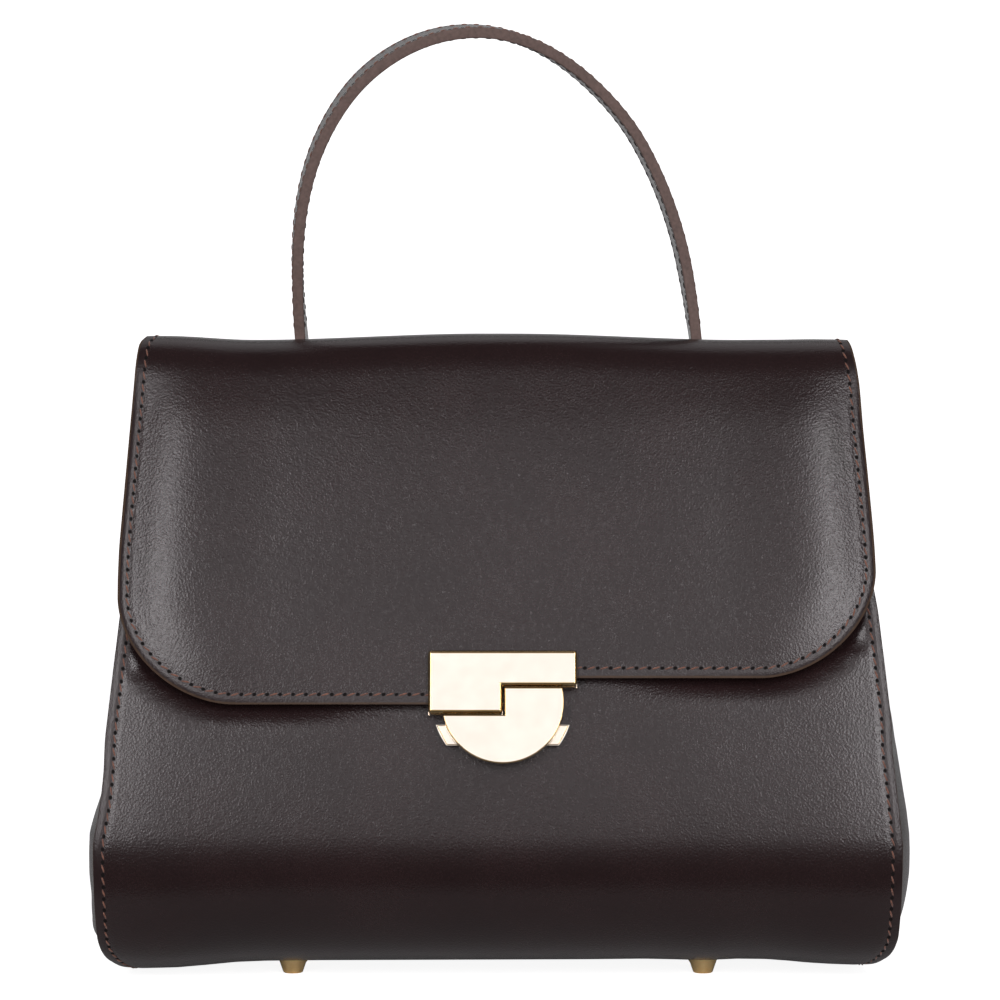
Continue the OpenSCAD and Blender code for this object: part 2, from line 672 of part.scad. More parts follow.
// Base plate on the front panel, with the slots of the tabs' legs and the springs' post
leg_w = 3;
leg_h = 2.4;
leg_x = 5;
leg_top = ear_top + ear_h / 2 - leg_h / 2;
post_w = 1.6;
spring_y = -ear_top - ear_h + (ear_h - leg_h) / 4;
coil_r = 0.6;
wire_r = 0.14;
tab_inner = leg_x + leg_w;
module leg_slot(side) {
    translate([side > 0 ? leg_x - tab_travel - run_gap : -leg_x - leg_w - run_gap,
            -leg_top - leg_h - run_gap, -far])
        cube([leg_w + tab_travel + 2 * run_gap, leg_h + 2 * run_gap, 2 * far]);
}
module lock_base() {
    color(pale_gold) bag_frame() lock_frame() difference() {
        union() {
            translate([0, 0, glue_gap]) linear_extrude(base_t) disc_shape(glue_gap);
            translate([-post_w / 2, spring_y - coil_r - wire_r, glue_gap + base_t / 2])
                cube([post_w, 2 * (coil_r + wire_r), base_t / 2 + run_gap + tab_thick]);
        }
        leg_slot(-1);
        leg_slot(1);
        at_disc_screws() cylinder(h = disc_back, r = screw_r + glue_gap);
    }
}

// Squeeze tabs. Each ear carries a leg through the leather and an arm inside the case. The arm
// crosses under the tongue and stands beside it on the far side, so squeezing an ear inwards
// moves its hook outwards. The two arms lie on different levels.
hook_top = tongue_low + tongue_h - run_gap;
cross_top = -leg_top + run_gap * 2 + arm_w;
module tab(side, level) {
    reach = leg_x + leg_w;
    hook_x = tongue_w / 2 + run_gap;
    color(pale_gold) bag_frame() lock_frame() mirror([side > 0 ? 1 : 0, 0, 0]) {
        intersection() {
            translate([0, 0, tab_low]) cylinder(h = tab_thick, r = ear_r, $fn = 96);
            translate([-far - reach, -ear_top - ear_h, 0]) cube([far, ear_h, far]);
        }
        translate([-reach - over, -leg_top - leg_h, tab_low]) cube([leg_w + over, leg_h, tab_thick]);
        translate([-reach, -leg_top - leg_h, level - arm_t]) cube([leg_w, leg_h, tab_low + tab_thick - level + arm_t]);
        translate([-reach, -leg_top - leg_h, level - arm_t]) cube([leg_w, cross_top + leg_top + leg_h, arm_t]);
        translate([-reach, cross_top - arm_w, level - arm_t]) cube([reach + hook_x + arm_w, arm_w, arm_t]);
        translate([hook_x, cross_top - arm_w, level - arm_t]) cube([arm_w, hook_top - cross_top + arm_w, arm_t]);
    }
}
module tab_left() { tab(-1, level_a); }
module tab_right() { tab(1, level_b); }

// Return springs between the springs' post and each tab
spring_turns = 6;
spring_steps = 8;
wire_sides = 5;
module spring(side) {
    gap = glue_gap + wire_r;
    from = post_w / 2 + gap;
    length = tab_inner - from - gap;
    rings = spring_turns * spring_steps;
    points = [for (i = [0:rings], k = [0:wire_sides - 1]) let (a = 360 * i / spring_steps,
        b = 360 * k / wire_sides, r = coil_r + wire_r * cos(b))
        [from + length * i / rings + wire_r * sin(b), r * cos(a), r * sin(a)]];
    function at(i, k) = i * wire_sides + k % wire_sides;
    tris = concat([for (i = [0:rings - 1], k = [0:wire_sides - 1]) [at(i, k), at(i, k + 1), at(i + 1, k)]],
        [for (i = [0:rings - 1], k = [0:wire_sides - 1]) [at(i, k + 1), at(i + 1, k + 1), at(i + 1, k)]],
        [for (k = [1:wire_sides - 2]) [at(0, 0), at(0, k + 1), at(0, k)]],
        [for (k = [1:wire_sides - 2]) [at(rings, 0), at(rings, k), at(rings, k + 1)]]);
    color(steel_grey) bag_frame() lock_frame() mirror([side < 0 ? 1 : 0, 0, 0])
        translate([0, spring_y, tab_low + tab_thick / 2]) polyhedron(points, tris);
}
module spring_left() { spring(-1); }
module spring_right() { spring(1); }

// Case behind the leather, in which the arms slide, and the windows in the front panel
case_wall = 0.8;
case_flange = 7;
case_in_w = 2 * (tongue_w / 2 + run_gap + arm_w + tab_travel + run_gap);
case_w = case_in_w + 2 * case_wall;
case_in_low = -leg_top - leg_h - run_gap;
case_in_h = tongue_low + tongue_h + run_gap - case_in_low;
case_floor = tongue_end - run_gap;
case_back = case_floor - case_wall;
// Room above the tongue for the arc on which it swings in
tongue_rise = 3.2;
module lock_windows() {
    lock_frame() {
        intersection() {
            union() {
                leg_slot(-1);
                leg_slot(1);
            }
            translate([-far, -far, case_back]) cube([2 * far, 2 * far, -case_back + over]);
        }
        translate([-tongue_w / 2 - run_gap, tongue_low - run_gap, case_back])
            cube([tongue_w + 2 * run_gap, tongue_h + tongue_rise, -case_back + over]);
        at_disc_screws() translate([0, 0, case_back]) cylinder(h = -case_back + over, r = screw_r + glue_gap);
    }
}
module lock_case() {
    color(steel_grey) bag_frame() lock_frame() difference() {
        union() {
            translate([-case_w / 2, case_in_low - case_wall, case_back])
                cube([case_w, case_in_h + 2 * case_wall, case_top - case_back]);
            translate([-case_w / 2 - case_flange, case_in_low - case_wall - case_flange, case_top - arm_t])
                cube([case_w + 2 * case_flange, case_in_h + 2 * (case_wall + case_flange), arm_t]);
        }
        translate([-case_in_w / 2, case_in_low, case_floor]) cube([case_in_w, case_in_h, -case_floor]);
        at_disc_screws() translate([0, 0, case_back]) cylinder(h = -case_back, r = screw_r + glue_gap);
    }
}
module lock_screws() {
    head_z = case_top - arm_t - glue_gap;
    head_t = 0.9;
    color(steel_grey) bag_frame() lock_frame() at_disc_screws() {
        translate([0, 0, head_z]) cylinder(h = face_z - plate_t - glue_gap - head_z, r = screw_r);
        translate([0, 0, head_z - head_t]) cylinder(h = head_t, r = screw_r * 1.8);
    }
}

// Clears the wall's inner layers round the case, and the tray that covers it inside
lining_back = -lining_in - lining_t - seat_sag;
tray_t = lining_t;
module around_case(grow, low, high) {
    translate([-case_w / 2 - case_flange - grow, case_in_low - case_wall - case_flange - grow, low])
        cube([case_w + 2 * (case_flange + grow), case_in_h + 2 * (case_wall + case_flange + grow), high - low]);
}
module lock_pocket() { lock_frame() around_case(run_gap, -far, -leather_t); }
module lock_cover() {
    color(lining_tan) bag_frame() lock_frame() difference() {
        around_case(run_gap + tray_t, case_back - glue_gap - tray_t, lining_back);
        around_case(run_gap, case_back - glue_gap, lining_back + over);
    }
}
front_panel();
back_panel();
gusset_left();
gusset_right();
front_board();
back_board();
base_board();
front_lining();
back_lining();
gusset_lining_left();
gusset_lining_right();
front_facing();
back_facing();
slip_pocket();
feet();
foot_screws();
flap_tail();
flap_outer();
flap_board();
flap_lining();
handle_outer();
handle_inner();
handle_tape();
lock_plate();
lock_clamp();
lock_plate_screws();
lock_disc();
lock_base();
tab_left();
tab_right();
spring_left();
spring_right();
lock_case();
lock_screws();
lock_cover();
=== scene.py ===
"""Looks of a structured top handle bag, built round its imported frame.

Geometry is worked out in millimetres in the frame's own axes and written to the meshes in metres.
The front of the bag faces -Y.
"""

import logging
import math
from collections.abc import Callable
from dataclasses import dataclass, field
from enum import Enum

import bpy
import numpy as np
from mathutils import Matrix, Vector

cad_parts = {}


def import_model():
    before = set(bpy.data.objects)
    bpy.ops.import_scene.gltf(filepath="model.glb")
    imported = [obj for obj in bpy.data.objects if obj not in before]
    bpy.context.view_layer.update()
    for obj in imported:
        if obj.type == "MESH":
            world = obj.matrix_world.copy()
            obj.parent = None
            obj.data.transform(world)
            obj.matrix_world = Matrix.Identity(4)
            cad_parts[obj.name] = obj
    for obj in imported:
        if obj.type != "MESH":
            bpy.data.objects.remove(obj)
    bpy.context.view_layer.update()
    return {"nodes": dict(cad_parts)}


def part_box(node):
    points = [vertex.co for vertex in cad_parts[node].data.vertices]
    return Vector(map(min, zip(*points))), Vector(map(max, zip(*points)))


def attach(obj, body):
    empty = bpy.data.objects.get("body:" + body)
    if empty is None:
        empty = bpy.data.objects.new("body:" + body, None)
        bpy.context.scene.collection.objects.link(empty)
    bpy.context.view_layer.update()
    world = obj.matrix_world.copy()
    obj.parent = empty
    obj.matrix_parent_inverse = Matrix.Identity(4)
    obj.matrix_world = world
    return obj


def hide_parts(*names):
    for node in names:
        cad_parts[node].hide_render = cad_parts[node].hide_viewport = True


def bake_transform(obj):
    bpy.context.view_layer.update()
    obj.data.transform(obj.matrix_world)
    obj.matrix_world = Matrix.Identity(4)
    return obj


LOG = logging.getLogger("bag")
MM = 0.001
MARGIN = "margin"  # the attribute that is 1 outside a sheet's stitches
BATCH = 4000  # points measured at a time
Array = np.ndarray
Colour = tuple[float, float, float, float]
Bulge = tuple[float, tuple[float, float], tuple[float, float]]


class Slot(Enum):
    """Material slots of the record."""

    LEATHER = "outer_leather"
    LINING = "lining_leather"
    BOARD = "stiffening_board"
    TAPE = "reinforcing_tape"
    BRASS = "antique_brass"
    GOLD = "pale_gold"
    STEEL = "plated_steel"


class Body(Enum):
    """Bodies of the frame that pieces ride on."""

    BAG = "bag"
    FLAP = "flap"
    TAB_LEFT = "squeeze_tab_left"
    TAB_RIGHT = "squeeze_tab_right"


# Small geometry helpers


def smoothstep(value: Array | float, low: float, high: float) -> Array:
    """Rises smoothly from 0 at low to 1 at high."""
    t = np.clip((np.asarray(value, float) - low) / (high - low), 0.0, 1.0)
    return t * t * (3.0 - 2.0 * t)


def plateau(value: Array | float, rise: tuple[float, float], fall: tuple[float, float]) -> Array:
    """Rises smoothly from 0 to 1 over one range and falls back to 0 over another."""
    return smoothstep(value, *rise) * (1 - smoothstep(value, *fall))


def between(places: Array | float, marks: Array, rows: Array) -> Array:
    """Gives the points at some places along rows of points that stand at given marks."""
    return np.stack([np.interp(places, marks, column) for column in rows.T], axis=-1)


def graded(count: int, density: float = 0.85) -> Array:
    """Gives count + 1 shares from 0 to 1 that crowd towards both ends.

    Args:
        count: Number of steps.
        density: 0 for even steps, towards 1 for the most crowded ends.

    Returns:
        The shares, in order.
    """
    t = np.linspace(0.0, 1.0, count + 1)
    return t - density * np.sin(2.0 * math.pi * t) / (2.0 * math.pi)


def spline(points: list[tuple[float, float]], spacing: float = 1.0) -> Array:
    """Draws a smooth curve through a few points.

    Args:
        points: The points, in order, in millimetres.
        spacing: Distance between the curve's samples.

    Returns:
        The samples, one row each.
    """
    p = np.array(points, float)
    p = np.vstack([2 * p[0] - p[1], p, 2 * p[-1] - p[-2]])
    out = []
    for a, b, c, d in zip(p, p[1:], p[2:], p[3:]):
        steps = max(2, int(np.linalg.norm(c - b) / spacing))
        t = np.linspace(0, 1, steps, endpoint=False)[:, None]
        bend = (2 * a - 5 * b + 4 * c - d) * t**2 + (3 * b - a - 3 * c + d) * t**3
        out.append((2 * b + (c - a) * t + bend) / 2)
    out.append(p[-2][None, :])
    return np.vstack(out)


class Path:
    """A plane curve with its length measured along it."""

    def __init__(self, points: Array) -> None:
        """Measures the curve.

        Args:
            points: Its points, one row each.
        """
        self.points = np.asarray(points, float)
        steps = np.linalg.norm(np.diff(self.points, axis=0), axis=1)
        self.lengths = np.concatenate([[0.0], np.cumsum(steps)])
        self.length = float(self.lengths[-1])

    def at(self, distance: Array | float) -> Array:
        """Gives the points at some distances along the curve."""
        return between(np.asarray(distance, float), self.lengths, self.points)

    def along(self, distance: Array | float, reach: float = 0.5) -> Array:
        """Gives unit tangents at some distances along the curve.

        Args:
            distance: Distances from its start.
            reach: Length on either side over which the direction is taken.

        Returns:
            The tangents, one row each.
        """
        d = np.asarray(distance, float)
        ahead = self.at(np.clip(d + reach, 0, self.length)) - self.at(np.clip(d - reach, 0, self.length))
        return ahead / np.linalg.norm(ahead, axis=-1, keepdims=True)

    def softened(self, reach: float, spacing: float = 0.5) -> "Path":
        """Gives the same curve with its bends eased over a reach on both sides.

        Args:
            reach: The reach, in millimetres.
            spacing: Distance between the new curve's points.

        Returns:
            The eased curve.
        """
        count = int(self.length / spacing)
        even = self.at(np.linspace(0, self.length, count + 1))
        width = max(1, int(reach / spacing))
        kernel = np.hanning(2 * width + 3)[1:-1]
        kernel /= kernel.sum()
        before = 2 * even[0] - even[width:0:-1]
        after = 2 * even[-1] - even[-2 : -width - 2 : -1]
        whole = np.vstack([before, even, after])
        return Path(np.stack([np.convolve(column, kernel, "valid") for column in whole.T], axis=-1))


def edge_distance(points: Array, edge: Array) -> tuple[Array, Array]:
    """Finds how far each point is from an edge, and where on it the nearest point lies.

    Args:
        points: Plane points, one row each.
        edge: Samples of the edge, one row each. A long step between two samples is a break.

    Returns:
        The distances, and the nearest places as sample numbers with their fractions.
    """
    step = np.diff(edge, axis=0)
    length = np.linalg.norm(step, axis=1)
    whole = length < 4 * np.median(length)
    near = np.empty(len(points))
    place = np.empty(len(points))
    for start in range(0, len(points), BATCH):
        part = points[start : start + BATCH]
        closest = ((part[:, None, :] - edge[None, :, :]) ** 2).sum(axis=2).argmin(axis=1)
        best = np.linalg.norm(part - edge[closest], axis=1)
        where = closest.astype(float)
        for first in (closest - 1, closest):
            valid = (first >= 0) & (first < len(step))
            i = np.clip(first, 0, len(step) - 1)
            share = ((part - edge[i]) * step[i]).sum(axis=1) / np.maximum(length[i] ** 2, 1e-9)
            share = np.clip(share, 0, 1)
            gap = np.linalg.norm(part - edge[i] - step[i] * share[:, None], axis=1)
            better = valid & whole[i] & (gap < best)
            best = np.where(better, gap, best)
            where = np.where(better, i + share, where)
        near[start : start + BATCH] = best
        place[start : start + BATCH] = where
    return near, place


# Work on meshes


def deselect() -> None:
    """Deselects every object."""
    bpy.ops.object.select_all(action="DESELECT")


def activate(piece: bpy.types.Object) -> None:
    """Makes a piece the only selected and the active object.

    Args:
        piece: The piece.
    """
    deselect()
    piece.select_set(True)
    bpy.context.view_layer.objects.active = piece


def read_points(piece: bpy.types.Object) -> Array:
    """Reads a mesh's vertices, one row each.

    Args:
        piece: The piece.

    Returns:
        Its vertices, in the mesh's own unit.
    """
    co = np.zeros(len(piece.data.vertices) * 3)
    piece.data.vertices.foreach_get("co", co)
    return co.reshape(-1, 3)


def write_points(piece: bpy.types.Object, points: Array) -> None:
    """Writes a mesh's vertices, given in millimetres."""
    piece.data.vertices.foreach_set("co", (points * MM).ravel())
    piece.data.update()


def apply_modifiers(piece: bpy.types.Object) -> None:
    """Applies every modifier of a piece, in order.

    Args:
        piece: The piece.
    """
    activate(piece)
    for modifier in list(piece.modifiers):
        bpy.ops.object.modifier_apply(modifier=modifier.name)


def laid_grid(name: str, columns: Array, rows: Array, place: Callable[[Array, Array], Array]) -> bpy.types.Object:
    """Adds a grid and lays it on a surface.

    Args:
        name: The piece's name.
        columns: Shares from 0 to 1 at which the columns stand.
        rows: Shares from 0 to 1 at which the rows lie.
        place: Gives the points, in millimetres, for shares across and along.

    Returns:
        The new object, one layer thick.
    """
    deselect()
    bpy.ops.mesh.primitive_grid_add(x_subdivisions=len(columns) - 1, y_subdivisions=len(rows) - 1, size=1)
    piece = bpy.context.object
    piece.name = piece.data.name = name
    flat = read_points(piece) + 0.5
    u = columns[np.rint(flat[:, 0] * (len(columns) - 1)).astype(int)]
    v = rows[np.rint(flat[:, 1] * (len(rows) - 1)).astype(int)]
    write_points(piece, place(u, v))
    return piece


def thicken(piece: bpy.types.Object, thickness: float, rim_round: float, flip: bool = False) -> None:
    """Gives a sheet its thickness inwards and rounds the edges of its painted rim.

    Args:
        piece: The sheet, with two material slots: its face and its rim.
        thickness: In millimetres.
        rim_round: Radius along the rim's two edges, in millimetres, or 0.
        flip: True if the sheet's faces point inwards.
    """
    activate(piece)
    if flip:
        bpy.ops.object.mode_set(mode="EDIT")
        bpy.ops.mesh.select_all(action="SELECT")
        bpy.ops.mesh.flip_normals()
        bpy.ops.object.mode_set(mode="OBJECT")
    wall = piece.modifiers.new("wall", "SOLIDIFY")
    wall.thickness = thickness * MM
    wall.offset = -1.0
    wall.use_quality_normals = True
    wall.material_offset_rim = 1
    apply_modifiers(piece)
    if rim_round:
        rim = piece.modifiers.new("rim", "BEVEL")
        rim.width = rim_round * MM
        rim.segments = 3
        rim.limit_method = "ANGLE"
        rim.angle_limit = math.radians(50)
        rim.material = 1
        apply_modifiers(piece)
    activate(piece)
    bpy.ops.object.shade_smooth_by_angle(angle=math.radians(45))


def add_finish(piece: bpy.types.Object, *materials: bpy.types.Material) -> None:
    """Puts materials in a piece's slots, in order, in place of what is there.

    Args:
        piece: The piece.
        materials: The materials.
    """
    piece.data.materials.clear()
    for material in materials:
        piece.data.materials.append(material)


def seat(piece: bpy.types.Object, body: Body, slot: Slot, *nodes: str) -> bpy.types.Object:
    """Makes a finished piece ride on a body in place of some nodes.

    Args:
        piece: The finished piece.
        body: The body that carries it.
        slot: Not used.
        nodes: The frame's nodes that it stands for.

    Returns:
        The same piece.
    """
    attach(piece, body.value)
    if nodes:
        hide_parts(*nodes)
    size = [round(d / MM, 1) for d in piece.dimensions]
    LOG.info("%s: %d faces, %s mm", piece.name, len(piece.data.polygons), size)
    return piece


# Shader nodes


class Shading:
    """A node tree that is filled one node at a time."""

    def __init__(self, tree: bpy.types.NodeTree) -> None:
        """Takes the tree to fill."""
        self.tree = tree

    def add(self, kind: str, inputs: dict | None = None, **settings: object) -> bpy.types.Node:
        """Adds a node.

        Args:
            kind: The node's type.
            inputs: Socket names or numbers, each with a value or an output socket to link from.
            settings: Attributes of the node.

        Returns:
            The new node.
        """
        node = self.tree.nodes.new(kind)
        for name, value in settings.items():
            setattr(node, name, value)
        for name, value in (inputs or {}).items():
            if isinstance(value, bpy.types.NodeSocket):
                self.tree.links.new(value, node.inputs[name])
            else:
                node.inputs[name].default_value = value
        return node

    def blend(self, factor: bpy.types.NodeSocket, low: object, high: object) -> bpy.types.NodeSocket:
        """Mixes two colours by a factor and gives the result's socket.

        Args:
            factor: The factor's socket.
            low: The colour or socket at 0.
            high: The colour or socket at 1.

        Returns:
            The mixed colour's socket.
        """
        mix = self.add("ShaderNodeMix", data_type="RGBA")
        self.tree.links.new(factor, mix.inputs["Factor"])
        for socket, value in ((mix.inputs[6], low), (mix.inputs[7], high)):
            if isinstance(value, bpy.types.NodeSocket):
                self.tree.links.new(value, socket)
            else:
                socket.default_value = value
        return mix.outputs[2]

    def math(self, operation: str, first: object, second: object = 0.0) -> bpy.types.NodeSocket:
        """Adds a sum, product or the like of two values and gives its socket."""
        return self.add("ShaderNodeMath", {0: first, 1: second}, operation=operation).outputs[0]

    def spread(self, value: object, low: float, high: float) -> bpy.types.NodeSocket:
        """Maps a value from 0..1 to low..high and gives its socket."""
        return self.add("ShaderNodeMapRange", {"Value": value, "To Min": low, "To Max": high}).outputs[0]


def new_group(name: str, inputs: dict[str, float], outputs: list[str]) -> tuple[bpy.types.NodeTree, Shading]:
    """Makes a shader node group with number sockets.

    Args:
        name: The group's name.
        inputs: Input names with their usual values.
        outputs: Output names.

    Returns:
        The group and the means to fill it.
    """
    tree = bpy.data.node_groups.new(name, "ShaderNodeTree")
    for label, value in inputs.items():
        socket = tree.interface.new_socket(label, in_out="INPUT", socket_type="NodeSocketFloat")
        socket.default_value = value
    for label in outputs:
        tree.interface.new_socket(label, in_out="OUTPUT", socket_type="NodeSocketFloat")
    return tree, Shading(tree)


def leather_grain() -> bpy.types.NodeTree:
    """Makes the group that gives leather its fine grain.

    Returns:
        A group with the inputs Cell, Crease and Mottle, in metres, and the outputs Height and Tone.
    """
    tree, s = new_group("leather grain", {"Cell": 0.0008, "Crease": 0.004, "Mottle": 0.03}, ["Height", "Tone"])
    given = s.add("NodeGroupInput")
    place = s.add("ShaderNodeTexCoord").outputs["Object"]

    def scale(label: str) -> bpy.types.NodeSocket:
        """Turns a size into a texture's scale."""
        return s.math("DIVIDE", 1.0, given.outputs[label])

    warp = s.add("ShaderNodeTexNoise", {"Vector": place, "Scale": scale("Crease"), "Detail": 2.0})
    moved = s.add("ShaderNodeVectorMath", {0: warp.outputs["Color"]}, operation="SCALE")
    moved.inputs["Scale"].default_value = 0.0012
    bent = s.add("ShaderNodeVectorMath", {0: place, 1: moved.outputs[0]}, operation="ADD").outputs[0]
    cells = s.add("ShaderNodeTexVoronoi", {"Vector": bent, "Scale": scale("Cell")}, feature="SMOOTH_F1")
    fine = s.add("ShaderNodeTexNoise", {"Vector": bent, "Scale": scale("Cell"), "Detail": 3.0})
    crease = s.add("ShaderNodeTexNoise", {"Vector": place, "Scale": scale("Crease"), "Detail": 3.0})
    body = s.math("MULTIPLY", cells.outputs["Distance"], 0.8)
    body = s.math("ADD", body, s.math("MULTIPLY", fine.outputs["Fac"], 0.7))
    body = s.math("ADD", body, s.math("MULTIPLY", crease.outputs["Fac"], 0.2))
    mottle = s.add("ShaderNodeTexNoise", {"Vector": place, "Scale": scale("Mottle"), "Detail": 4.0})
    tone = s.math("ADD", s.math("MULTIPLY", mottle.outputs["Fac"], 0.4), s.math("MULTIPLY", fine.outputs["Fac"], 0.6))
    s.add("NodeGroupOutput", {"Height": body, "Tone": tone})
    return tree


def soft_wear() -> bpy.types.NodeTree:
    """Makes the group that gives paint, thread and metal their slight unevenness.

    Returns:
        A group with the input Size, in metres, and the outputs Height and Tone.
    """
    tree, s = new_group("soft wear", {"Size": 0.002}, ["Height", "Tone"])
    given = s.add("NodeGroupInput")
    place = s.add("ShaderNodeTexCoord").outputs["Object"]
    scale = s.math("DIVIDE", 1.0, given.outputs["Size"])
    coarse = s.add("ShaderNodeTexNoise", {"Vector": place, "Scale": scale, "Detail": 4.0})
    fine = s.add("ShaderNodeTexNoise", {"Vector": place, "Scale": s.math("MULTIPLY", scale, 6.0), "Detail": 2.0})
    s.add("NodeGroupOutput", {"Height": fine.outputs["Fac"], "Tone": coarse.outputs["Fac"]})
    return tree


@dataclass(frozen=True)
class Finish:
    """One finish: its colours, gloss and relief.

    A finish with worn over 0 is duller in the sewn margin by that much, and its grain's hollows are
    duller than its peaks by twice grain_gloss.
    """

    name: str
    dark: Colour
    light: Colour
    rough_low: float
    rough_high: float
    metallic: float = 0.0
    specular: float = 0.5
    sheen: float = 0.0
    bump: float = 0.2
    relief: float = 0.0002
    sizes: dict[str, float] = field(default_factory=dict)
    worn: float = 0.0
    grain_gloss: float = 0.04

    def material(self, group: bpy.types.NodeTree) -> bpy.types.Material:
        """Makes the material.

        Args:
            group: The effect group that varies it over the surface.

        Returns:
            The new material.
        """
        material = bpy.data.materials.new(self.name)
        material.use_nodes = True
        tree = material.node_tree
        tree.nodes.clear()
        s = Shading(tree)
        effect = s.add("ShaderNodeGroup", node_tree=group)
        for label, size in self.sizes.items():
            effect.inputs[label].default_value = size
        tone = effect.outputs["Tone"]
        level = s.add("ShaderNodeMapRange", {"Value": tone, "From Min": 0.3, "From Max": 0.7}).outputs[0]
        height = effect.outputs["Height"]
        bump = s.add("ShaderNodeBump", {"Height": height, "Strength": self.bump, "Distance": self.relief})
        rough = s.spread(level, self.rough_low, self.rough_high)
        if self.worn:
            margin = s.add("ShaderNodeAttribute", attribute_name=MARGIN).outputs["Fac"]
            rough = s.math("ADD", rough, s.math("MULTIPLY", margin, self.worn))
            rough = s.math("ADD", rough, s.spread(height, self.grain_gloss, -self.grain_gloss))
        shader = s.add(
            "ShaderNodeBsdfPrincipled",
            {
                "Base Color": s.blend(level, self.dark, self.light),
                "Roughness": rough,
                "Metallic": self.metallic,
                "Specular IOR Level": self.specular,
                "Sheen Weight": self.sheen,
                "Normal": bump.outputs[0],
            },
        )
        s.add("ShaderNodeOutputMaterial", {"Surface": shader.outputs[0]})
        return material


FINISHES = {
    "leather": Finish(
        "chocolate leather", (0.0105, 0.0048, 0.0051, 1), (0.0225, 0.0104, 0.0108, 1), 0.25, 0.30,
        specular=0.42, bump=1.0, relief=0.000075, sizes={"Cell": 0.0006, "Crease": 0.0030, "Mottle": 0.03},
        worn=0.06,
    ),
    "paint": Finish(
        "brown edge paint", (0.050, 0.029, 0.018, 1), (0.074, 0.045, 0.029, 1), 0.50, 0.60,
        specular=0.2, bump=0.15, relief=0.0001, sizes={"Size": 0.003},
    ),
    "raw_edge": Finish(
        "waxed edge", (0.105, 0.068, 0.058, 1), (0.165, 0.108, 0.093, 1), 0.5, 0.62,
        bump=0.8, relief=0.0003, sizes={"Size": 0.0012},
    ),
    # The same thread darkened to near black for the strap's underside: painted shade.
    "painted_shade_thread": Finish(
        "thread darkened with painted shade", (0.012, 0.007, 0.007, 1), (0.020, 0.012, 0.012, 1), 0.55, 0.65,
        bump=0.5, relief=0.0001, sizes={"Size": 0.0008},
    ),
    "thread": Finish(
        "terracotta thread", (0.11, 0.041, 0.025, 1), (0.25, 0.10, 0.061, 1), 0.5, 0.65,
        sheen=0.3, bump=0.5, relief=0.0001, sizes={"Size": 0.0008},
    ),
    # Near-black discs between the stitches: painted shade where the needle pierced the leather.
    "hole_shade": Finish(
        "needle hole", (0.004, 0.003, 0.003, 1), (0.006, 0.004, 0.004, 1), 0.8, 0.9,
        specular=0.2, sizes={"Size": 0.001},
    ),
    "lining": Finish(
        "tan lining leather", (0.21, 0.125, 0.072, 1), (0.28, 0.175, 0.105, 1), 0.6, 0.75,
        specular=0.3, bump=0.35, relief=0.0002, sizes={"Cell": 0.0006, "Crease": 0.003, "Mottle": 0.02},
    ),
    "board": Finish(
        "fibre board", (0.30, 0.28, 0.24, 1), (0.40, 0.37, 0.32, 1), 0.8, 0.9,
        specular=0.2, bump=0.3, sizes={"Size": 0.002},
    ),
    "tape": Finish(
        "woven tape", (0.30, 0.28, 0.25, 1), (0.42, 0.40, 0.36, 1), 0.8, 0.9,
        specular=0.2, bump=0.5, sizes={"Size": 0.0008},
    ),
    # The same plating, darker and deeper in tone, for the plates' rims and rounded edges: painted shade standing in for
    # the dark surroundings they reflect.
    "gold_edge_shade": Finish(
        "gold plating darkened at the edges by painted shade", (0.62, 0.43, 0.20, 1), (0.70, 0.50, 0.26, 1), 0.12, 0.18,
        metallic=1.0, bump=0.02, relief=0.00005, sizes={"Size": 0.006},
    ),
    "gold": Finish(
        "pale gold plating", (0.94, 0.86, 0.75, 1), (0.98, 0.91, 0.80, 1), 0.10, 0.15,
        metallic=1.0, bump=0.02, relief=0.00005, sizes={"Size": 0.006},
    ),
    "brass": Finish(
        "antique brass", (0.92, 0.66, 0.32, 1), (0.98, 0.76, 0.40, 1), 0.42, 0.52,
        metallic=1.0, bump=0.06, relief=0.0001, sizes={"Size": 0.0015},
    ),
    "steel": Finish(
        "plated steel", (0.42, 0.42, 0.44, 1), (0.52, 0.52, 0.54, 1), 0.3, 0.4,
        metallic=1.0, bump=0.05, sizes={"Size": 0.002},
    ),
}


@dataclass(frozen=True)
class Wardrobe:
    """The materials of the bag's finishes."""

    leather: bpy.types.Material
    paint: bpy.types.Material
    raw_edge: bpy.types.Material
    painted_shade_thread: bpy.types.Material
    thread: bpy.types.Material
    hole_shade: bpy.types.Material
    lining: bpy.types.Material
    board: bpy.types.Material
    tape: bpy.types.Material
    gold_edge_shade: bpy.types.Material
    gold: bpy.types.Material
    brass: bpy.types.Material
    steel: bpy.types.Material

    @classmethod
    def stocked(cls) -> "Wardrobe":
        """Makes each finish's material once, with grain for leather and slight wear for the rest.

        Returns:
            The materials, each in its own field.
        """
        grain, wear = leather_grain(), soft_wear()
        return cls(**{
            name: finish.material(grain if "Cell" in finish.sizes else wear) for name, finish in FINISHES.items()
        })


# Sewing


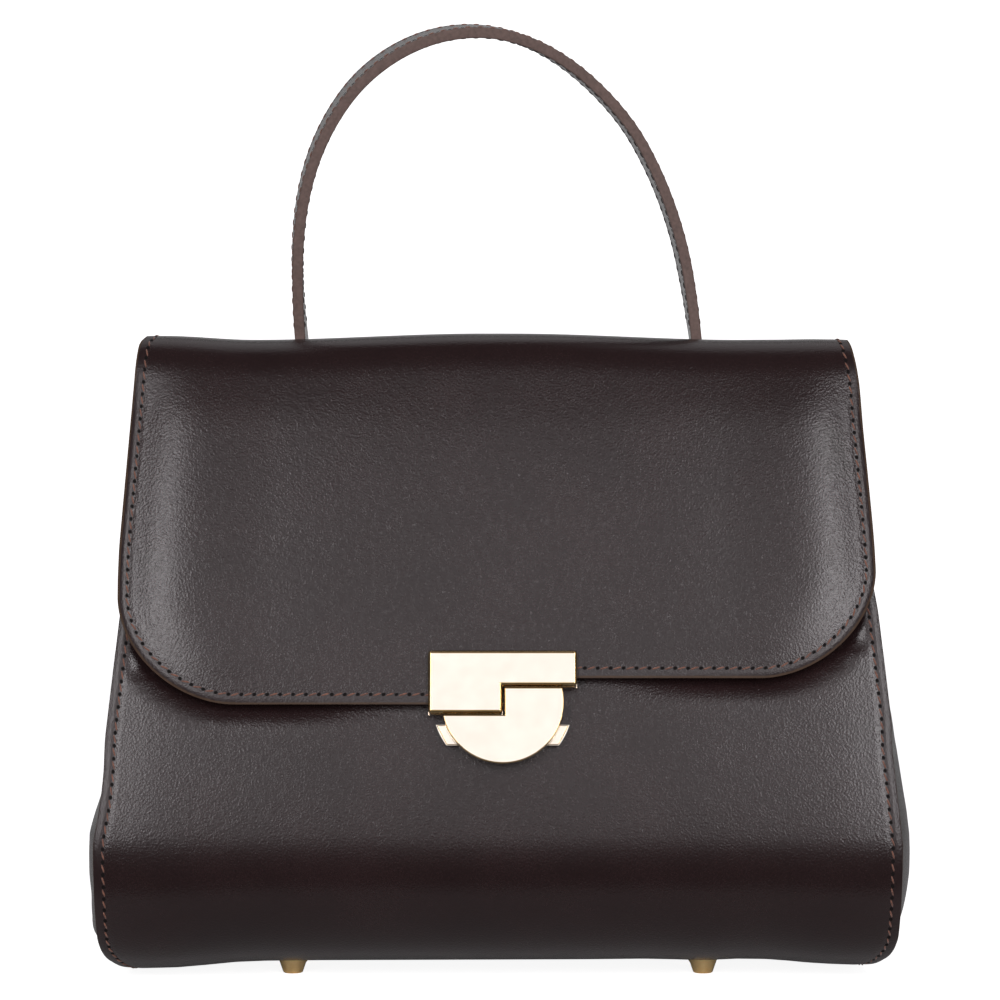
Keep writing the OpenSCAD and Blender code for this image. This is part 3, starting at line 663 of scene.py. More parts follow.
@dataclass(frozen=True)
class Needlework:
    """Saddle stitches: one short slanted thread after another, with a near-black disc of painted shade at each end,
    where the needle went through.
    """

    pitch: float = 4.35
    length: float = 3.1
    thread: float = 0.62
    slant: float = math.radians(17)
    sink: float = 0.16
    arch: float = 0.22
    hole_shade: float = 0.6
    hole_stretch: float = 1.25
    hole_height: float = 0.05
    sides: int = 8
    rings: int = 6

    def one_stitch(self) -> tuple[Array, list[tuple[int, ...]]]:
        """Models one stitch along X with Z up and reads its mesh.

        Returns:
            Its points in millimetres, and its faces.
        """
        deselect()
        bpy.ops.mesh.primitive_uv_sphere_add(segments=self.sides, ring_count=self.rings, radius=1)
        bead = bpy.context.object
        co = read_points(bead)[:, [2, 0, 1]]
        arch = 1.0 - np.abs(co[:, 0]) ** 3
        co[:, 0] *= self.length / 2
        co[:, 1] *= self.thread / 2
        co[:, 2] = co[:, 2] * self.thread / 2 + self.arch * arch - self.sink
        faces = [tuple(p.vertices) for p in bead.data.polygons]
        bpy.data.objects.remove(bead)
        return co, faces

    def one_hole_shade(self) -> tuple[Array, list[tuple[int, ...]]]:
        """Models the near-black disc of painted shade between two stitches, where the needle went through, and reads
        its mesh.

        Returns:
            Its points in millimetres, and its faces.
        """
        deselect()
        bpy.ops.mesh.primitive_circle_add(vertices=self.sides, radius=1, fill_type="TRIFAN")
        disc = bpy.context.object
        co = read_points(disc)
        co[:, 0] *= self.hole_shade * self.hole_stretch
        co[:, 1] *= self.hole_shade
        co[:, 2] = self.hole_height
        faces = [tuple(p.vertices) for p in disc.data.polygons]
        bpy.data.objects.remove(disc)
        return co, faces

    def sew(
        self, name: str, paths: list[Array], normals: list[Array], finishes: Wardrobe, painted_shade_thread: bool = False
    ) -> bpy.types.Object:
        """Sews rows of stitches.

        Args:
            name: The piece's name.
            paths: For each row, closely spaced points on the leather.
            normals: For each row, the leather's unit normals at those points.
            finishes: Where the thread's materials come from.
            painted_shade_thread: True for the strap's inner side, whose stitches take the thread darkened with painted
                shade.

        Returns:
            The stitches, as one piece.
        """
        stitch, hole_shade = self.one_stitch(), self.one_hole_shade()
        points: list[Array] = []
        faces: list[tuple[int, ...]] = []
        looks: list[int] = []
        count = 0
        for path, normal in zip(paths, normals):
            steps = np.linalg.norm(np.diff(path, axis=0), axis=1)
            lengths = np.concatenate([[0.0], np.cumsum(steps)])
            number = max(1, int(round(lengths[-1] / self.pitch)))
            pitch = lengths[-1] / number
            for k in range(2 * number):
                where = (k + 1) * pitch / 2
                # Every second mark is a near-black disc of painted shade where the needle pierced the leather.
                model, look = (stitch, 0) if k % 2 == 0 else (hole_shade, 1)
                up = between(where, lengths, normal)
                up /= np.linalg.norm(up)
                along = between(where + 0.4, lengths, path) - between(where - 0.4, lengths, path)
                along -= up * (along @ up)
                along /= np.linalg.norm(along)
                side = np.cross(up, along)
                turned = along * math.cos(self.slant) + side * math.sin(self.slant)
                axes = np.stack([turned, np.cross(up, turned), up])
                points.append(model[0] @ axes + between(where, lengths, path))
                faces += [tuple(count + i for i in face) for face in model[1]]
                looks += [look] * len(model[1])
                count += len(model[0])
        mesh = bpy.data.meshes.new(name)
        mesh.from_pydata((np.vstack(points) * MM).tolist(), [], faces)
        piece = bpy.data.objects.new(name, mesh)
        bpy.context.scene.collection.objects.link(piece)
        add_finish(piece, finishes.painted_shade_thread if painted_shade_thread else finishes.thread, finishes.hole_shade)
        mesh.polygons.foreach_set("material_index", looks)
        mesh.polygons.foreach_set("use_smooth", [True] * len(looks))
        mesh.update()
        return piece


@dataclass(frozen=True)
class Margin:
    """How leather rises from its sewn margin: flat outside the stitches, stuffed inside them."""

    inset: float = 3.3
    groove: float = 0.2
    groove_width: float = 1.1
    height: float = 1.6
    reach: float = 6.0
    fall: float = 0.45

    def rise(self, distance: Array) -> Array:
        """Gives the leather's rise at distances from its edge.

        Args:
            distance: The distances, in millimetres.

        Returns:
            How far the leather stands out of its plain surface at each.
        """
        inside = np.clip(distance - self.inset, 0, None)
        outside = np.clip(1 - distance / self.inset, 0, 1)
        puff = self.height * (1.0 - (1.0 + inside / self.reach) * np.exp(-inside / self.reach))
        dip = self.groove * np.exp(-(((distance - self.inset) / self.groove_width) ** 2))
        return puff - dip - self.fall * outside**1.5


class Sheet:
    """A sheet of leather over a pattern with four sides, sewn near its edge.

    A subclass gives the four sides in pattern coordinates and the surface over the pattern.
    """

    name = "sheet"
    columns = 120
    rows = 120
    margin = Margin()
    spacing = 0.8
    seam_step = 0.7
    shade_from = -0.4
    shade_to = 1.4

    def sides(self) -> tuple[Path, Path, Path, Path]:
        """Gives the low, high, first and last side. Low and high run first to last."""
        raise NotImplementedError

    def sewn(self) -> list[Path]:
        """Gives the sides along which the sheet is sewn, joined where they meet."""
        raise NotImplementedError

    def surface(self, pattern: Array, distance: Array, nearest: Array) -> Array:
        """Gives points in millimetres for pattern points, their edge distance and nearest sample."""
        raise NotImplementedError

    def prepare(self) -> None:
        """Samples the sewn edge."""
        self.edge = np.vstack([p.at(np.arange(0, p.length, self.spacing)) for p in self.sewn()])

    def place(self, pattern: Array) -> Array:
        """Gives points in millimetres for pattern points, margin included."""
        distance, nearest = edge_distance(pattern, self.edge)
        return self.surface(pattern, distance, nearest)

    def patch(self, u: Array, v: Array) -> Array:
        """Fills the four sides: u runs from the first side to the last, v from low to high.

        Args:
            u: Shares across, from 0 to 1.
            v: Shares along, from 0 to 1.

        Returns:
            Points of the pattern, one row each.
        """
        low, high, first, last = self.sides()
        a, b = low.at(u * low.length), high.at(u * high.length)
        c, d = first.at(v * first.length), last.at(v * last.length)
        u, v = u[:, None], v[:, None]
        corners = (1 - u) * (1 - v) * low.at(0) + u * (1 - v) * low.at(low.length)
        corners += (1 - u) * v * high.at(0) + u * v * high.at(high.length)
        return (1 - v) * a + v * b + (1 - u) * c + u * d - corners

    def lay(self) -> bpy.types.Object:
        """Models the sheet, one layer thick.

        Returns:
            The new piece, with its margin marked.
        """
        self.prepare()

        def place(u: Array, v: Array) -> Array:
            """Lays the grid and notes how far its points are from the edge.

            Args:
                u: Shares across, from 0 to 1.
                v: Shares along, from 0 to 1.

            Returns:
                Points in millimetres, one row each.
            """
            pattern = self.patch(u, v)
            self.near, nearest = edge_distance(pattern, self.edge)
            return self.surface(pattern, self.near, nearest)

        piece = laid_grid(self.name, graded(self.columns), graded(self.rows), place)
        shade = 1 - smoothstep(self.near - self.margin.inset, self.shade_from, self.shade_to)
        piece.data.attributes.new(MARGIN, "FLOAT", "POINT").data.foreach_set("value", shade)
        return piece

    def seam(self, side: Path, start: float = 0.0, stop: float = 0.0) -> tuple[Array, Array]:
        """Gives a row of points and normals for stitches beside one sewn side.

        Args:
            side: The side, in pattern coordinates, with the sheet on its left.
            start: Length left out at its start, in millimetres.
            stop: Length left out at its end, in millimetres.

        Returns:
            The points and the unit normals.
        """
        s = np.arange(start, side.length - stop, self.seam_step)
        along = side.along(s)
        inward = np.stack([-along[:, 1], along[:, 0]], axis=-1)
        pattern = side.at(s) + inward * self.margin.inset
        here = self.place(pattern)
        step = 0.3
        across = self.place(pattern + inward * step) - self.place(pattern - inward * step)
        ahead = self.place(pattern + along * step) - self.place(pattern - along * step)
        normal = np.cross(ahead, across)
        normal /= np.linalg.norm(normal, axis=1, keepdims=True)
        return here, normal


# The bag's own shape


@dataclass
class Figure:
    """The body's side view and front view, in millimetres, as the frame has them."""

    middle: float
    base_z: float
    mouth_z: float
    belly_half: float
    panel_half: float
    mouth_half: float = 28.0
    mouth_panel_half: float = 118.5
    bottom_r: float = 44.0
    power: float = 1.35
    corner_r: float = 16.0
    corner_drop: float = 2.6
    leather: float = 1.6
    hang: tuple[tuple[float, float], ...] = (
        (-140, -2.2), (-122, -2.6), (-110, -2.1), (-100, -1.2), (-90, -0.2), (-80, 0.2), (-60, 0.4), (0, 0.6),
        (30, 0.7), (50, 0.9), (60, 0.7), (71, 0.4), (82, 0.9), (92, 0.8), (100, 0.2), (106, -0.4), (113, -0.9),
        (122, -1.4), (140, -1.6),
    )
    fuller: Bulge = (0.9, (78, 92), (124, 142))
    drawn: Bulge = (-0.9, (48, 64), (70, 86))
    lock_x: float = 1.6
    lock_z: float = 95.2
    press_near: float = 22.0
    press_far: float = 75.0
    press_share: float = 0.9
    dip: float = 3.2
    dip_above: float = -3.0
    dip_below: float = 8.5
    flap_edge: Array | None = None

    @classmethod
    def from_frame(cls) -> "Figure":
        """Reads the main sizes from the frame.

        Returns:
            The body's figure.
        """
        board_low, board_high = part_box("base_board")
        low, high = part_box("back_panel")
        middle = (board_low.y + board_high.y) / 2 / MM
        return cls(
            middle=middle,
            base_z=low.z / MM,
            mouth_z=high.z / MM,
            belly_half=high.y / MM - middle,
            panel_half=high.x / MM,
        )

    @property
    def belly_z(self) -> float:
        """Height at which the body is deepest."""
        return self.base_z + self.bottom_r

    @property
    def base_half(self) -> float:
        """Half depth of the flat base."""
        return self.belly_half - self.bottom_r

    def rise_share(self, z: Array | float) -> Array:
        """Share of the way from the belly up to the mouth."""
        return np.clip((np.asarray(z, float) - self.belly_z) / (self.mouth_z - self.belly_z), 0, None)

    def wall_half(self, z: Array | float) -> Array:
        """Half depth above the belly."""
        return self.belly_half - (self.belly_half - self.mouth_half) * self.rise_share(z) ** self.power

    def lean(self, z: Array | float) -> Array:
        """Lean of the wall from upright, in radians.

        Args:
            z: Heights.

        Returns:
            The lean at each.
        """
        run = self.mouth_z - self.belly_z
        slope = (self.belly_half - self.mouth_half) * self.power / run * self.rise_share(z) ** (self.power - 1)
        return np.arctan(slope)

    def wall(self, out: float, top: float, bottom: float | None = None) -> Path:
        """Side view of one wall at a distance outside the leather.

        Args:
            out: The distance, negative inside.
            top: Height at which it stops.
            bottom: Height at which it starts, or None for the middle of the base.

        Returns:
            A path of distances from the middle plane and heights, from the bottom up.
        """
        start = self.belly_z if bottom is None else bottom
        z = np.linspace(start, top, 120)
        lean = self.lean(z)
        side = np.stack([self.wall_half(z) + out * np.cos(lean), z + out * np.sin(lean)], axis=-1)
        if bottom is None:
            turn = np.linspace(0, math.pi / 2, 60)[:-1]
            r = self.bottom_r + out
            arc = np.stack([self.base_half + r * np.sin(turn), self.belly_z - r * np.cos(turn)], axis=-1)
            flat = np.stack([np.linspace(0.05, self.base_half, 12)[:-1], np.full(11, self.belly_z - r)], axis=-1)
            side = np.vstack([flat, arc, side])
        return Path(side)

    def edge_half(self, z: Array | float) -> Array:
        """Half width of the panels' front view at a height.

        Args:
            z: Heights.

        Returns:
            The half width at each.
        """
        z = np.asarray(z, float)
        corner_z = self.base_z - self.corner_drop + self.corner_r
        below = np.clip(corner_z - z, 0, self.corner_r)
        corner = self.panel_half - self.corner_r + np.sqrt(self.corner_r**2 - below**2)
        side = self.panel_half - (self.panel_half - self.mouth_panel_half) * self.rise_share(z)
        return np.where(z < self.belly_z, corner, side)

    def side_half(self, z: Array | float, side: float) -> Array:
        """Half width of one side: below the flap the right one is a little fuller and the left one is drawn in."""
        more, rise, fall = self.fuller if side > 0 else self.drawn
        return self.edge_half(z) + more * plateau(z, rise, fall)

    def pressed(self, x: Array, z: Array, far: float | None = None) -> Array:
        """Share by which the leather is pressed flat round the lock, out to a distance from its middle."""
        distance = np.hypot(x - self.lock_x, z - self.lock_z)
        return 1 - smoothstep(distance, self.press_near, far or self.press_far)

    def dent(self, x: Array, z: Array, distance: Array) -> Array:
        """Depth by which the flap presses the front wall in, down to a little below its edge.

        Args:
            x: Places across the wall.
            z: Heights on the wall.
            distance: Distances from the wall's edge.

        Returns:
            The depths in millimetres.
        """
        below, nearest = edge_distance(np.stack([x, z], axis=-1), self.flap_edge)
        below = np.where(z > np.interp(nearest, np.arange(len(self.flap_edge)), self.flap_edge[:, 1]), 0.0, below)
        depth = self.dip * (1 - smoothstep(below, self.dip_above, self.dip_below)) * smoothstep(distance, 2, 14)
        return depth * (1 - self.press_share * self.pressed(x, z))

    def settle(self, points: Array) -> Array:
        """Lets the body's lower corners hang a little below its base.

        Args:
            points: Points in millimetres, one row each.

        Returns:
            The points, lowered.
        """
        table = np.array(self.hang)
        fade = 1 - smoothstep(points[:, 2], self.base_z + 4, self.belly_z + 10)
        out = points.copy()
        out[:, 2] += np.interp(points[:, 0], table[:, 0], table[:, 1]) * fade
        return out


class Panel(Sheet):
    """The front or the back panel, from the middle of the base up to the mouth.

    Its leather is stuffed less under the base. The front one is pressed in by the flap and lies flat
    round the lock.
    """

    columns = 150
    rows = 150
    margin = Margin(height=0.5, reach=5.0)
    base_stuffing = 0.35

    def __init__(self, figure: Figure, front: bool) -> None:
        """Takes the body's figure and the side.

        Args:
            figure: The body's figure.
            front: True for the front panel.
        """
        self.figure = figure
        self.toward = -1.0 if front else 1.0
        self.name = "front_panel_leather" if front else "back_panel_leather"
        self.profile = figure.wall(0.0, figure.mouth_z)

    def sides(self) -> tuple[Path, Path, Path, Path]:
        """Gives the base's middle line, the mouth, the left and the right edge.

        Returns:
            The four sides, in pattern coordinates.
        """
        s = np.linspace(0, self.profile.length, 260)
        z = self.profile.at(s)[:, 1]
        left = np.stack([-self.figure.side_half(z, -1), s], axis=-1)
        right = np.stack([self.figure.side_half(z, 1), s], axis=-1)
        return Path(np.array([left[0], right[0]])), Path(np.array([left[-1], right[-1]])), Path(left), Path(right)

    def sewn(self) -> list[Path]:
        """Gives the two edges and the mouth."""
        _, high, first, last = self.sides()
        return [first, last, high]

    def surface(self, pattern: Array, distance: Array, nearest: Array) -> Array:
        """Lays the leather on the wall.

        Args:
            pattern: Points of the pattern, one row each.
            distance: How far each is from the sewn edge.
            nearest: The edge's sample that is nearest to each.

        Returns:
            Points in millimetres, one row each.
        """
        s = np.clip(pattern[:, 1], 0, self.profile.length)
        at, along = self.profile.at(s), self.profile.along(s, 1.0)
        normal = np.stack([along[:, 1], -along[:, 0]], axis=-1)
        fade = smoothstep(s, 0.0, 60.0)
        out = self.margin.rise(distance) * (self.base_stuffing + (1 - self.base_stuffing) * fade)
        if self.toward < 0:
            out = out * (1 - self.figure.press_share * self.figure.pressed(pattern[:, 0], at[:, 1]))
            out = out - self.figure.dent(pattern[:, 0], at[:, 1], distance)
        at = at + normal * out[:, None]
        points = np.stack([pattern[:, 0], self.figure.middle + self.toward * at[:, 0], at[:, 1]], axis=-1)
        return self.figure.settle(points)

    def build(self, finishes: Wardrobe, work: Needlework, nodes: tuple[str, ...]) -> None:
        """Models the panel and its stitches.

        Args:
            finishes: The bag's finishes.
            work: How it is sewn.
            nodes: The frame's nodes that the panel stands for.
        """
        piece = self.lay()
        add_finish(piece, finishes.leather, finishes.paint)
        thicken(piece, self.figure.leather, 0.3, flip=self.toward > 0)
        seat(piece, Body.BAG, Slot.LEATHER, *nodes)
        _, high, first, last = self.sides()
        rows = [self.seam(Path(first.points[::-1]), stop=1.0), self.seam(last, start=1.0)]
        rows.append(self.seam(Path(high.points[::-1]), start=8.0, stop=8.0))
        outward = [normal * (1.0 if self.toward < 0 else -1.0) for _, normal in rows]
        stitches = work.sew(f"{self.name}_stitches", [p for p, _ in rows], outward, finishes)
        seat(stitches, Body.BAG, Slot.LEATHER)


LEFT_SWELL = (
    (2, 4.6), (8, 9.6), (15, 10.6), (22, 7.9), (29, 6.8), (36, 7.2), (43, 7.1), (50, 6.8), (57, 5.9), (64, 4.6),
    (71, 4.0), (78, 3.2), (90, 2.3), (110, 1.2), (165, 0.0),
)
RIGHT_SWELL = (
    (2, 1.2), (8, 5.1), (15, 5.6), (22, 6.9), (29, 7.6), (36, 8.2), (43, 8.2), (50, 7.9), (57, 7.8), (64, 7.3),
    (71, 6.9), (78, 6.5), (85, 5.6), (100, 3.6), (120, 1.6), (165, 0.0),
)


class Gusset(Sheet):
    """One end of the bag: a turned margin that lies on the panels, and a dome between them."""

    columns = 90
    rows = 130
    turned = 4.6
    dome_power = 2.2
    dome_reach = 7.0
    tuck = 16.0
    tuck_z = 165.0
    tuck_power = 1.4
    lining_inset = 8.5
    lining_from = 0.05

    def __init__(self, figure: Figure, side: float) -> None:
        """Takes the body's figure and the side.

        Args:
            figure: The body's figure.
            side: -1 for the left gusset and 1 for the right.
        """
        self.figure = figure
        self.side = side
        self.name = "gusset_left_leather" if side < 0 else "gusset_right_leather"
        self.swell = np.array(LEFT_SWELL if side < 0 else RIGHT_SWELL)

    def outline(self, depth: float) -> Path:
        """Side view of the gusset's edge, from the front mouth round the base to the back mouth.

        Args:
            depth: How far the line lies inside the panels' outer face.

        Returns:
            A path of distances from the middle plane and heights.
        """
        wall = self.figure.wall(-depth, self.figure.mouth_z - 0.3).points
        front = np.stack([-wall[::-1, 0], wall[::-1, 1]], axis=-1)
        return Path(np.vstack([front, wall]))

    def corners(self) -> tuple[float, float]:
        """Gives the lengths along the pattern's edge at which its lower corners lie.

        Returns:
            The front corner's length and the back corner's.
        """
        reach = self.figure.base_half + (self.figure.bottom_r + self.turned) * math.pi / 4
        half = self.rim.length / 2
        return half - reach, half + reach

    def prepare(self) -> None:
        """Finds the edge in the pattern, which is wider than the side view by the turned margin."""
        depth = 2 * self.figure.leather + 0.1
        self.rim = self.outline(depth - self.turned)
        super().prepare()
        line = self.outline(depth)
        count = int(line.length / 0.5)
        _, nearest = edge_distance(self.edge, line.at(np.linspace(0, line.length, count + 1)))
        self.fold = line.at(nearest * line.length / count)

    def sides(self) -> tuple[Path, Path, Path, Path]:
        """Gives the base, the mouth, the front and the back edge of the pattern.

        Returns:
            The four sides, in pattern coordinates.
        """
        a, b = self.corners()
        low = Path(self.rim.at(np.linspace(a, b, 160)))
        first = Path(self.rim.at(np.linspace(a, 0, 260)))
        last = Path(self.rim.at(np.linspace(b, self.rim.length, 260)))
        high = Path(np.array([self.rim.points[0], self.rim.points[-1]]))
        return low, high, first, last

    def sewn(self) -> list[Path]:
        """Gives the whole edge but the mouth."""
        return [self.rim]

    def surface(self, pattern: Array, distance: Array, nearest: Array) -> Array:
        """Turns the margin out along the panels and domes what lies between them.

        Args:
            pattern: Points of the pattern, one row each.
            distance: How far each is from the sewn edge.
            nearest: The edge's sample that is nearest to each.

        Returns:
            Points in millimetres, one row each.
        """
        turn = smoothstep(distance, self.turned - 1.4, self.turned + 1.4)[:, None]
        fold = between(nearest, np.arange(len(self.fold)), self.fold)
        flat = fold * (1 - turn) + pattern * turn
        y, z = flat[:, 0], flat[:, 1]
        edge = self.figure.side_half(z, self.side)
        inside = np.clip(distance - self.turned, 0, None)
        bend = np.clip(self.figure.bottom_r**2 - (self.figure.belly_z - z) ** 2, 1, None)
        low_half = self.figure.base_half + np.sqrt(bend)
        half = np.where(z > self.figure.belly_z, self.figure.wall_half(z), low_half)
        across = np.clip(np.abs(y) / half, 0, 1)
        proud = np.interp(z, self.swell[:, 0], self.swell[:, 1]) + self.turned
        tuck = np.clip((z - self.tuck_z) / (self.figure.mouth_z - self.tuck_z), 0, 1) ** 1.5
        body = proud * (1 - across**self.dome_power) * (1 - np.exp(-inside / self.dome_reach))
        body -= self.tuck * tuck * (1 - across**self.tuck_power)
        turn = turn[:, 0]
        x = edge - np.minimum(distance, self.turned) * (1 - turn) - self.turned * turn + body * turn
        points = np.stack([self.side * x, self.figure.middle + y, z], axis=-1)
        return self.figure.settle(points)

    def build(self, finishes: Wardrobe, nodes: tuple[str, ...]) -> None:
        """Models the gusset and its lining.

        Args:
            finishes: The bag's finishes.
            nodes: The frame's nodes that the two stand for.
        """
        piece = self.lay()
        add_finish(piece, finishes.leather, finishes.leather)
        thicken(piece, self.figure.leather, 0.3, flip=self.side < 0)
        seat(piece, Body.BAG, Slot.LEATHER, nodes[0])
        _, _, first, last = self.sides()

        def place(u: Array, v: Array) -> Array:
            """Lays the lining inside the dome, clear of the turned margin.

            Args:
                u: Shares across, from 0 to 1.
                v: Shares along, from 0 to 1.

            Returns:
                Points in millimetres, one row each.
            """
            v = self.lining_from + (1 - self.lining_from) * v
            width = np.linalg.norm(last.at(v * last.length) - first.at(v * first.length), axis=1)
            share = 1 - 2 * self.lining_inset / width
            points = self.place(self.patch(0.5 + (u - 0.5) * share, v))
            points[:, 0] -= self.side * (self.figure.leather + 0.3)
            return points

        name = self.name.replace("leather", "lining_leather")
        lining = laid_grid(name, graded(60, 0.3), graded(80, 0.3), place)
        add_finish(lining, finishes.lining, finishes.lining)
        thicken(lining, 0.6, 0.0, flip=self.side < 0)
        seat(lining, Body.BAG, Slot.LINING, nodes[1])


@dataclass
class FlapCut:
    """Sizes of the flap, in millimetres.

    left and right are tables of heights and half widths. bend_from and bend_to are distances behind
    the body's middle that nothing here reads.
    """

    roof_z: float
    left: tuple[tuple[float, float], ...] = (
        (220.5, 121.0), (217.5, 122.9), (210.5, 123.6), (203.6, 124.0), (189.7, 124.9), (175.8, 125.8),
        (162.0, 126.7), (148.0, 127.6), (138.0, 127.8), (120.0, 127.6),
    )
    right: tuple[tuple[float, float], ...] = (
        (220.5, 120.4), (217.5, 121.2), (210.5, 122.4), (203.6, 123.2), (196.6, 123.6), (189.7, 123.95),
        (182.7, 124.45), (175.8, 125.0), (168.9, 125.5), (162.0, 126.0), (155.0, 126.5), (148.0, 126.9),
        (138.0, 127.2), (120.0, 127.4),
    )
    low_left: float = 95.6
    low_right: float = 104.3
    corner_x: float = 39.5
    corner_z: float = 36.0
    corner_power: float = 1.85
    front_out: float = 4.9
    back_out: float = 2.7
    front_fold: float = 14.0
    back_fold: float = 9.0
    tail_z: float = 178.5
    thickness: float = 2.5
    step_from: float = -5.0
    step_to: float = 1.4
    bend_from: float = 29.5
    bend_to: float = 16.0


class Flap(Sheet):
    """The flap with its tail: one leather from the back over the roof down the front."""

    name = "flap_leather"
    columns = 170
    rows = 160
    margin = Margin(height=2.2, reach=5.0, fall=0.9)
    painted = 0.7
    roof_stuffing = 0.2
    middle_stuffing = 0.5
    press_up = 7.0
    press_far = 90.0
    press_share = 0.85
    shift = 0.0
    layer_share = 0.97
    layer_from = 0.72
    layer_to = 0.985

    def __init__(self, figure: Figure, cut: FlapCut) -> None:
        """Takes the body's figure and the flap's sizes, and draws the side view.

        Args:
            figure: The body's figure.
            cut: The flap's sizes.
        """
        self.figure = figure
        self.cut = cut
        lean = float(figure.lean(figure.mouth_z))
        back = self.wall_line(cut.back_out, cut.tail_z, self.fold_foot(cut.back_fold))
        front = self.wall_line(cut.front_out, cut.low_left - 4, self.fold_foot(cut.front_fold))
        back_c = (back[-1][0] - cut.back_fold * math.cos(lean), cut.roof_z - cut.back_fold)
        front_c = (front[-1][0] - cut.front_fold * math.cos(lean), cut.roof_z - cut.front_fold)
        over = self.fold(back_c, cut.back_fold, lean, math.pi / 2)
        down = self.fold(front_c, cut.front_fold, math.pi / 2, lean)
        mirror = np.array([-1.0, 1.0])
        line = np.vstack([back * mirror, over[1:] * mirror, down, front[::-1][1:]])
        self.profile = Path(line).softened(5.0)
        front = self.profile.points[:, 0] > 0
        self.front_s = self.profile.lengths[front]
        self.front_z = self.profile.points[front, 1]

    def fold_foot(self, radius: float) -> float:
        """Height at which a fold of the roof leaves the wall."""
        return self.cut.roof_z - radius * (1 - math.sin(float(self.figure.lean(self.figure.mouth_z))))

    def wall_line(self, out: float, low: float, high: float) -> Array:
        """Side view of the flap along a wall, from low to high."""
        return self.figure.wall(out, high, low).points

    def fold(self, centre: tuple[float, float], radius: float, start: float, stop: float) -> Array:
        """Points of a fold of the roof."""
        a = np.linspace(start, stop, 16)
        return np.stack([centre[0] + radius * np.cos(a), centre[1] + radius * np.sin(a)], axis=-1)

    def length_at(self, z: Array | float) -> Array:
        """Length along the side view at which the front reaches a height."""
        return np.interp(-np.asarray(z, float), -self.front_z, self.front_s)

    def half(self, z: Array, sign: float) -> Array:
        """Half width of the flap at a height of its front, on the left (-1) or the right (1)."""
        table = np.array(self.cut.left if sign < 0 else self.cut.right)[::-1]
        return np.interp(z, table[:, 0], table[:, 1])

    def corner(self, sign: float, low: float, turn: Array) -> Array:
        """Points round a lower corner; turn is 0 at the side and pi / 2 at the lower edge.

        Args:
            sign: -1 for the left corner and 1 for the right.
            low: Height of the lower edge there.
            turn: How far round each point lies, in radians.

        Returns:
            Points of the pattern, one row each.
        """
        cut = self.cut
        power = 2.0 / cut.corner_power
        wide = float(self.half(np.array(low + cut.corner_z), sign))
        x = wide - cut.corner_x * (1 - np.cos(turn) ** power)
        z = low + cut.corner_z * (1 - np.sin(turn) ** power)
        return np.stack([sign * x, self.length_at(z)], axis=-1)

    def side_line(self, sign: float, low: float) -> Array:
        """One side edge from the tail to the middle of the lower corner.

        Args:
            sign: -1 for the left edge and 1 for the right.
            low: Height of the lower edge there.

        Returns:
            Points of the pattern, one row each.
        """
        cut = self.cut
        roof_s = float(self.length_at(cut.roof_z - 0.6))
        edge = float(self.half(np.array(cut.roof_z), sign))
        top = np.array([[sign * edge, s] for s in np.linspace(0, roof_s, 60)])
        z = np.linspace(cut.roof_z - 0.6, low + cut.corner_z, 90)[1:]
        side = np.stack([sign * self.half(z, sign), self.length_at(z)], axis=-1)
        side = Path(np.vstack([top, side])).softened(3.0).points
        bend = self.corner(sign, low, np.linspace(0, math.pi / 4, 24))[1:]
        return np.vstack([side, bend])

    def sides(self) -> tuple[Path, Path, Path, Path]:
        """Gives the tail's edge, the lower edge, the left and the right edge.

        Returns:
            The four sides, in pattern coordinates.
        """
        cut = self.cut
        left, right = self.side_line(-1, cut.low_left), self.side_line(1, cut.low_right)
        round_left = self.corner(-1, cut.low_left, np.linspace(math.pi / 4, math.pi / 2, 24))
        round_right = self.corner(1, cut.low_right, np.linspace(math.pi / 2, math.pi / 4, 24))
        x = np.linspace(round_left[-1, 0], round_right[0, 0], 200)[1:-1]
        z = cut.low_left + (cut.low_right - cut.low_left) * smoothstep(x, cut.step_from, cut.step_to)
        low_edge = np.vstack([round_left, np.stack([x, self.length_at(z)], axis=-1), round_right])
        tail = Path(np.array([left[0], right[0]]))
        return tail, Path(low_edge), Path(left), Path(right)

    def sewn(self) -> list[Path]:
        """Gives all four sides."""
        return list(self.sides())

    def low_line(self) -> Array:
        """Gives widths and heights of the flap's edge from corner to corner.

        Returns:
            The samples, one row each.
        """
        low = self.sides()[1]
        line = low.at(np.arange(0, low.length, 1.0))
        return np.stack([line[:, 0], self.profile.at(line[:, 1])[:, 1]], axis=-1)

    def crown(self, x: Array, s: Array) -> Array:
        """Rise of the roof over its own line, from the middle out to the ends.

        Args:
            x: Places across the flap.
            s: Lengths along its side view.

        Returns:
            The rise at each place.
        """
        front = self.length_at(self.cut.roof_z - 3), self.length_at(self.cut.roof_z - 30)
        on_roof = plateau(s, (22, 50), front)
        middle = 0.5 - 2.2 * smoothstep(np.abs(x), 5, 85)
        return on_roof * (middle + 1.7 * smoothstep(-x, 85, 121) + 0.4 * smoothstep(x, 95, 118))

    def surface(self, pattern: Array, distance: Array, nearest: Array) -> Array:
        """Lays the leather over the side view.

        Args:
            pattern: Points of the pattern, one row each.
            distance: How far each is from the sewn edge.
            nearest: The edge's sample that is nearest to each.

        Returns:
            Points in millimetres, one row each.
        """
        x, s = pattern[:, 0], pattern[:, 1]
        s = np.clip(s, 0, self.profile.length)
        at, along = self.profile.at(s), self.profile.along(s, 1.0)
        normal = np.stack([-along[:, 1], along[:, 0]], axis=-1)
        stuffed = smoothstep(s, self.length_at(self.cut.roof_z - 2), self.length_at(self.cut.roof_z - 34))
        ends = self.middle_stuffing + (1 - self.middle_stuffing) * smoothstep(np.abs(x), 75, 112)
        out = self.margin.rise(distance) * (self.roof_stuffing + (1 - self.roof_stuffing) * stuffed) * ends
        pressed = self.figure.pressed(x, at[:, 1] - self.press_up, self.press_far)
        out = out * (1 - self.press_share * stuffed * pressed)
        at = at + normal * (out + self.shift)[:, None]
        at[:, 1] += self.crown(x, s)
        return np.stack([x, self.figure.middle - at[:, 0], at[:, 1]], axis=-1)

